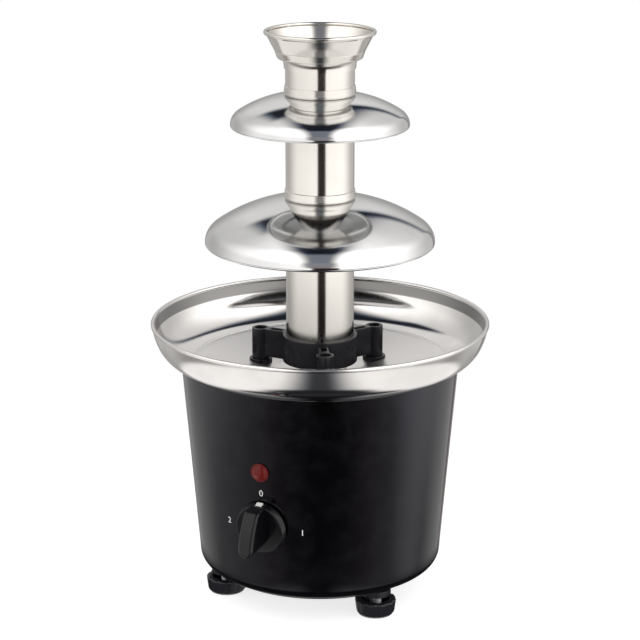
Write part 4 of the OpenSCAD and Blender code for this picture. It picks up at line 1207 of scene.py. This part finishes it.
def fluted_knob(node):
    """A hollow-topped knob that narrows downwards, with flutes round its side."""
    low, high = (Vector(corner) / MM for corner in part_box(node))
    centre, radius, low_z, high_z = upright(low, high)
    hollow_r = radius - FOOT_WALL
    hollow_z = high_z - FOOT_HOLLOW
    fluted_from = radius - FOOT_TAPER - FOOT_ROUND
    bottom = arc((fluted_from, low_z + FOOT_ROUND), FOOT_ROUND, -90, 0, steps=6)
    top = arc((radius - FOOT_ROUND, high_z - FOOT_ROUND), FOOT_ROUND, 0, 90, steps=6)
    outside = bottom + line_between(bottom[-1], top[0], 8) + top
    outline = [(STUD_R, low_z), *outside, (hollow_r, high_z), (hollow_r, hollow_z), (STUD_R, hollow_z)]
    steps = FLUTES * FLUTE_STEPS
    points = []
    for j in range(steps):
        angle = 2 * math.pi * j / steps
        dip = FLUTE_DEPTH * max(0, math.cos(FLUTES * angle)) ** FLUTE_FULLNESS
        for r, z in outline:
            r_here = r - dip if r > fluted_from else r
            points.append((centre.x + r_here * math.cos(angle), centre.y + r_here * math.sin(angle), z))
    return piece_from(node + "_fluted", points, grid_faces(steps, len(outline)), SOFT_ANGLE)


for foot in FEET:
    foot_knob = "foot_knob_" + foot
    dress(fluted_knob(foot_knob), "foot_" + foot, "black_plastic", foot_knob)

# %% [markdown]
# ### The foot studs
#
# Each foot screws in and out on a threaded stud. A bump would vanish at the outline. A thread is a tube
# whose radius rises and falls as it goes up and round, so one formula gives the whole surface.

# %% Cut the threads
THREAD_PITCH = 1.25
THREAD_DEPTH = 0.55
THREAD_SIDES = 36
THREAD_ROWS = 8


def threaded(node):
    """A threaded rod in place of a plain one."""
    low, high = (Vector(corner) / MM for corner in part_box(node))
    centre, radius, low_z, high_z = upright(low, high)
    rows = round((high_z - low_z) / THREAD_PITCH * THREAD_ROWS)
    points = []
    for i in range(rows + 1):
        z = low_z + (high_z - low_z) * i / rows
        for j in range(THREAD_SIDES):
            wave = abs(((z - low_z) / THREAD_PITCH - j / THREAD_SIDES) % 1 - 0.5) * 2
            r = radius - THREAD_DEPTH * wave
            angle = 2 * math.pi * j / THREAD_SIDES
            points.append((centre.x + r * math.cos(angle), centre.y + r * math.sin(angle), z))
    return piece_from(node + "_threaded", points, capped_faces(rows + 1, THREAD_SIDES))


for foot in FEET:
    foot_stud = "foot_stud_" + foot
    dress(threaded(foot_stud), "foot_" + foot, "zinc_plate", foot_stud)

# %% [markdown]
# ## The numerals
#
# Three positions are printed round the knob: 0 at the top is off, and 1 and 2 are its settings. Paint in
# the shader would need a picture of each numeral, so Blender's own type gives the shapes, with a film's
# thickness, bent onto the wall.

# %% Print the numerals
NUMERAL_SIZE = 5.8
PRINT_HALF = 0.03
PRINT_LIFT = 0.06
MARKS = {"0": (0.0, 91.2), "1": (18.1, 66.8), "2": (-18.1, 66.8)}


def numeral(text, degrees, z):
    """A printed numeral, wrapped on the wall at a turn from the front and a height."""
    letter = bpy.data.curves.new("numeral", "FONT")
    letter.body = text
    letter.size = NUMERAL_SIZE
    letter.align_x = "CENTER"
    letter.align_y = "CENTER"
    letter.extrude = PRINT_HALF
    typed = add_object("typed", letter)
    mesh = final_mesh(typed)
    points = []
    for vertex in mesh.vertices:
        x, y, lift = vertex.co
        height = z + y * math.cos(body_tilt)
        radius = body_r(height) + PRINT_LIFT + lift
        angle = math.radians(degrees) + x / radius
        points.append((radius * math.sin(angle), -radius * math.cos(angle), height))
    faces = [tuple(polygon.vertices) for polygon in mesh.polygons]
    bpy.data.objects.remove(typed)
    return piece_from("position_" + text, points, faces)


for mark, place_on_wall in MARKS.items():
    dress(numeral(mark, *place_on_wall), "base", "white_print")

# %% [markdown]
# ## The floor
#
# A pale table that fades into the white of the room. A plain plane would end in a horizon line, so this
# one glows a little and turns clear with distance. Shiny pieces don't see it: they mirror the painted
# room, which carries on below the horizon.

# %% Lay the floor
FLOOR_HALF = 750.0
PAPER_GREY = (0.5, 0.5, 0.5, 1)
PAPER_GLOW = 0.76
FADE_SPAN = (160 * MM, 420 * MM)
paper = begin("pale_floor")
shade = paper.node("ShaderNodeBsdfDiffuse", inputs={"Color": PAPER_GREY})
light = paper.node("ShaderNodeEmission", inputs={"Color": WHITE, "Strength": PAPER_GLOW})
lit_paper = paper.node("ShaderNodeAddShader", inputs={0: shade, 1: light})
clear = paper.node("ShaderNodeBsdfTransparent")
fade = from_axis(place(paper)).step(*FADE_SPAN)
faded = paper.node("ShaderNodeMixShader", inputs={0: fade, 1: lit_paper, 2: clear})
paper.node("ShaderNodeOutputMaterial", inputs={"Surface": faded})
corners = [(x * FLOOR_HALF, y * FLOOR_HALF, 0) for x, y in ((-1, -1), (1, -1), (1, 1), (-1, 1))]
floor_piece = piece_from("floor", corners, [(0, 1, 2, 3)])
floor_piece.data.materials.append(finishes["pale_floor"])
floor_piece.visible_glossy = False
print("floor is", 2 * FLOOR_HALF, "mm wide")

# %% [markdown]
# ### The shade under the body
#
# Shiny pieces should still see the shade that the fountain throws on the table. The floor can't show it,
# so a disc that only mirrors can see lies under the body: dark round the foot, and paler in the middle,
# so that the body's rounded bottom edge catches a thin pale line.

# %% Lay the shade
SHADE_R = 125.0
SHADE_STEPS = 64
SHADE_LIFT = 0.1
SHADE_SPAN = (95 * MM, SHADE_R * MM)
MIDDLE_SPAN = (60 * MM, 72 * MM)
MIDDLE_PALE = (0.4, 0.39, 0.38, 1)
SHADE_DARK = (0.03, 0.03, 0.035, 1)
table_shade = begin("table_shade")
shade_r = from_axis(place(table_shade))
under = shade_r.step(*MIDDLE_SPAN).blend(MIDDLE_PALE, SHADE_DARK)
dim = table_shade.node("ShaderNodeEmission", inputs={"Color": under, "Strength": 1.0})
open_air = table_shade.node("ShaderNodeBsdfTransparent")
shade_edge = shade_r.step(*SHADE_SPAN)
soft_disc = table_shade.node("ShaderNodeMixShader", inputs={0: shade_edge, 1: dim, 2: open_air})
table_shade.node("ShaderNodeOutputMaterial", inputs={"Surface": soft_disc})
shade_ring = [(*polar(SHADE_R, 360 * i / SHADE_STEPS), SHADE_LIFT) for i in range(SHADE_STEPS)]
shade_disc = piece_from("table_shade", shade_ring, [tuple(range(SHADE_STEPS))])
shade_disc.data.materials.append(finishes["table_shade"])
for way in ("camera", "diffuse", "shadow", "transmission"):
    setattr(shade_disc, "visible_" + way, False)
print("shade is", 2 * SHADE_R, "mm wide")

# %% [markdown]
# ## Sizes
#
# Dressing must not change the size.
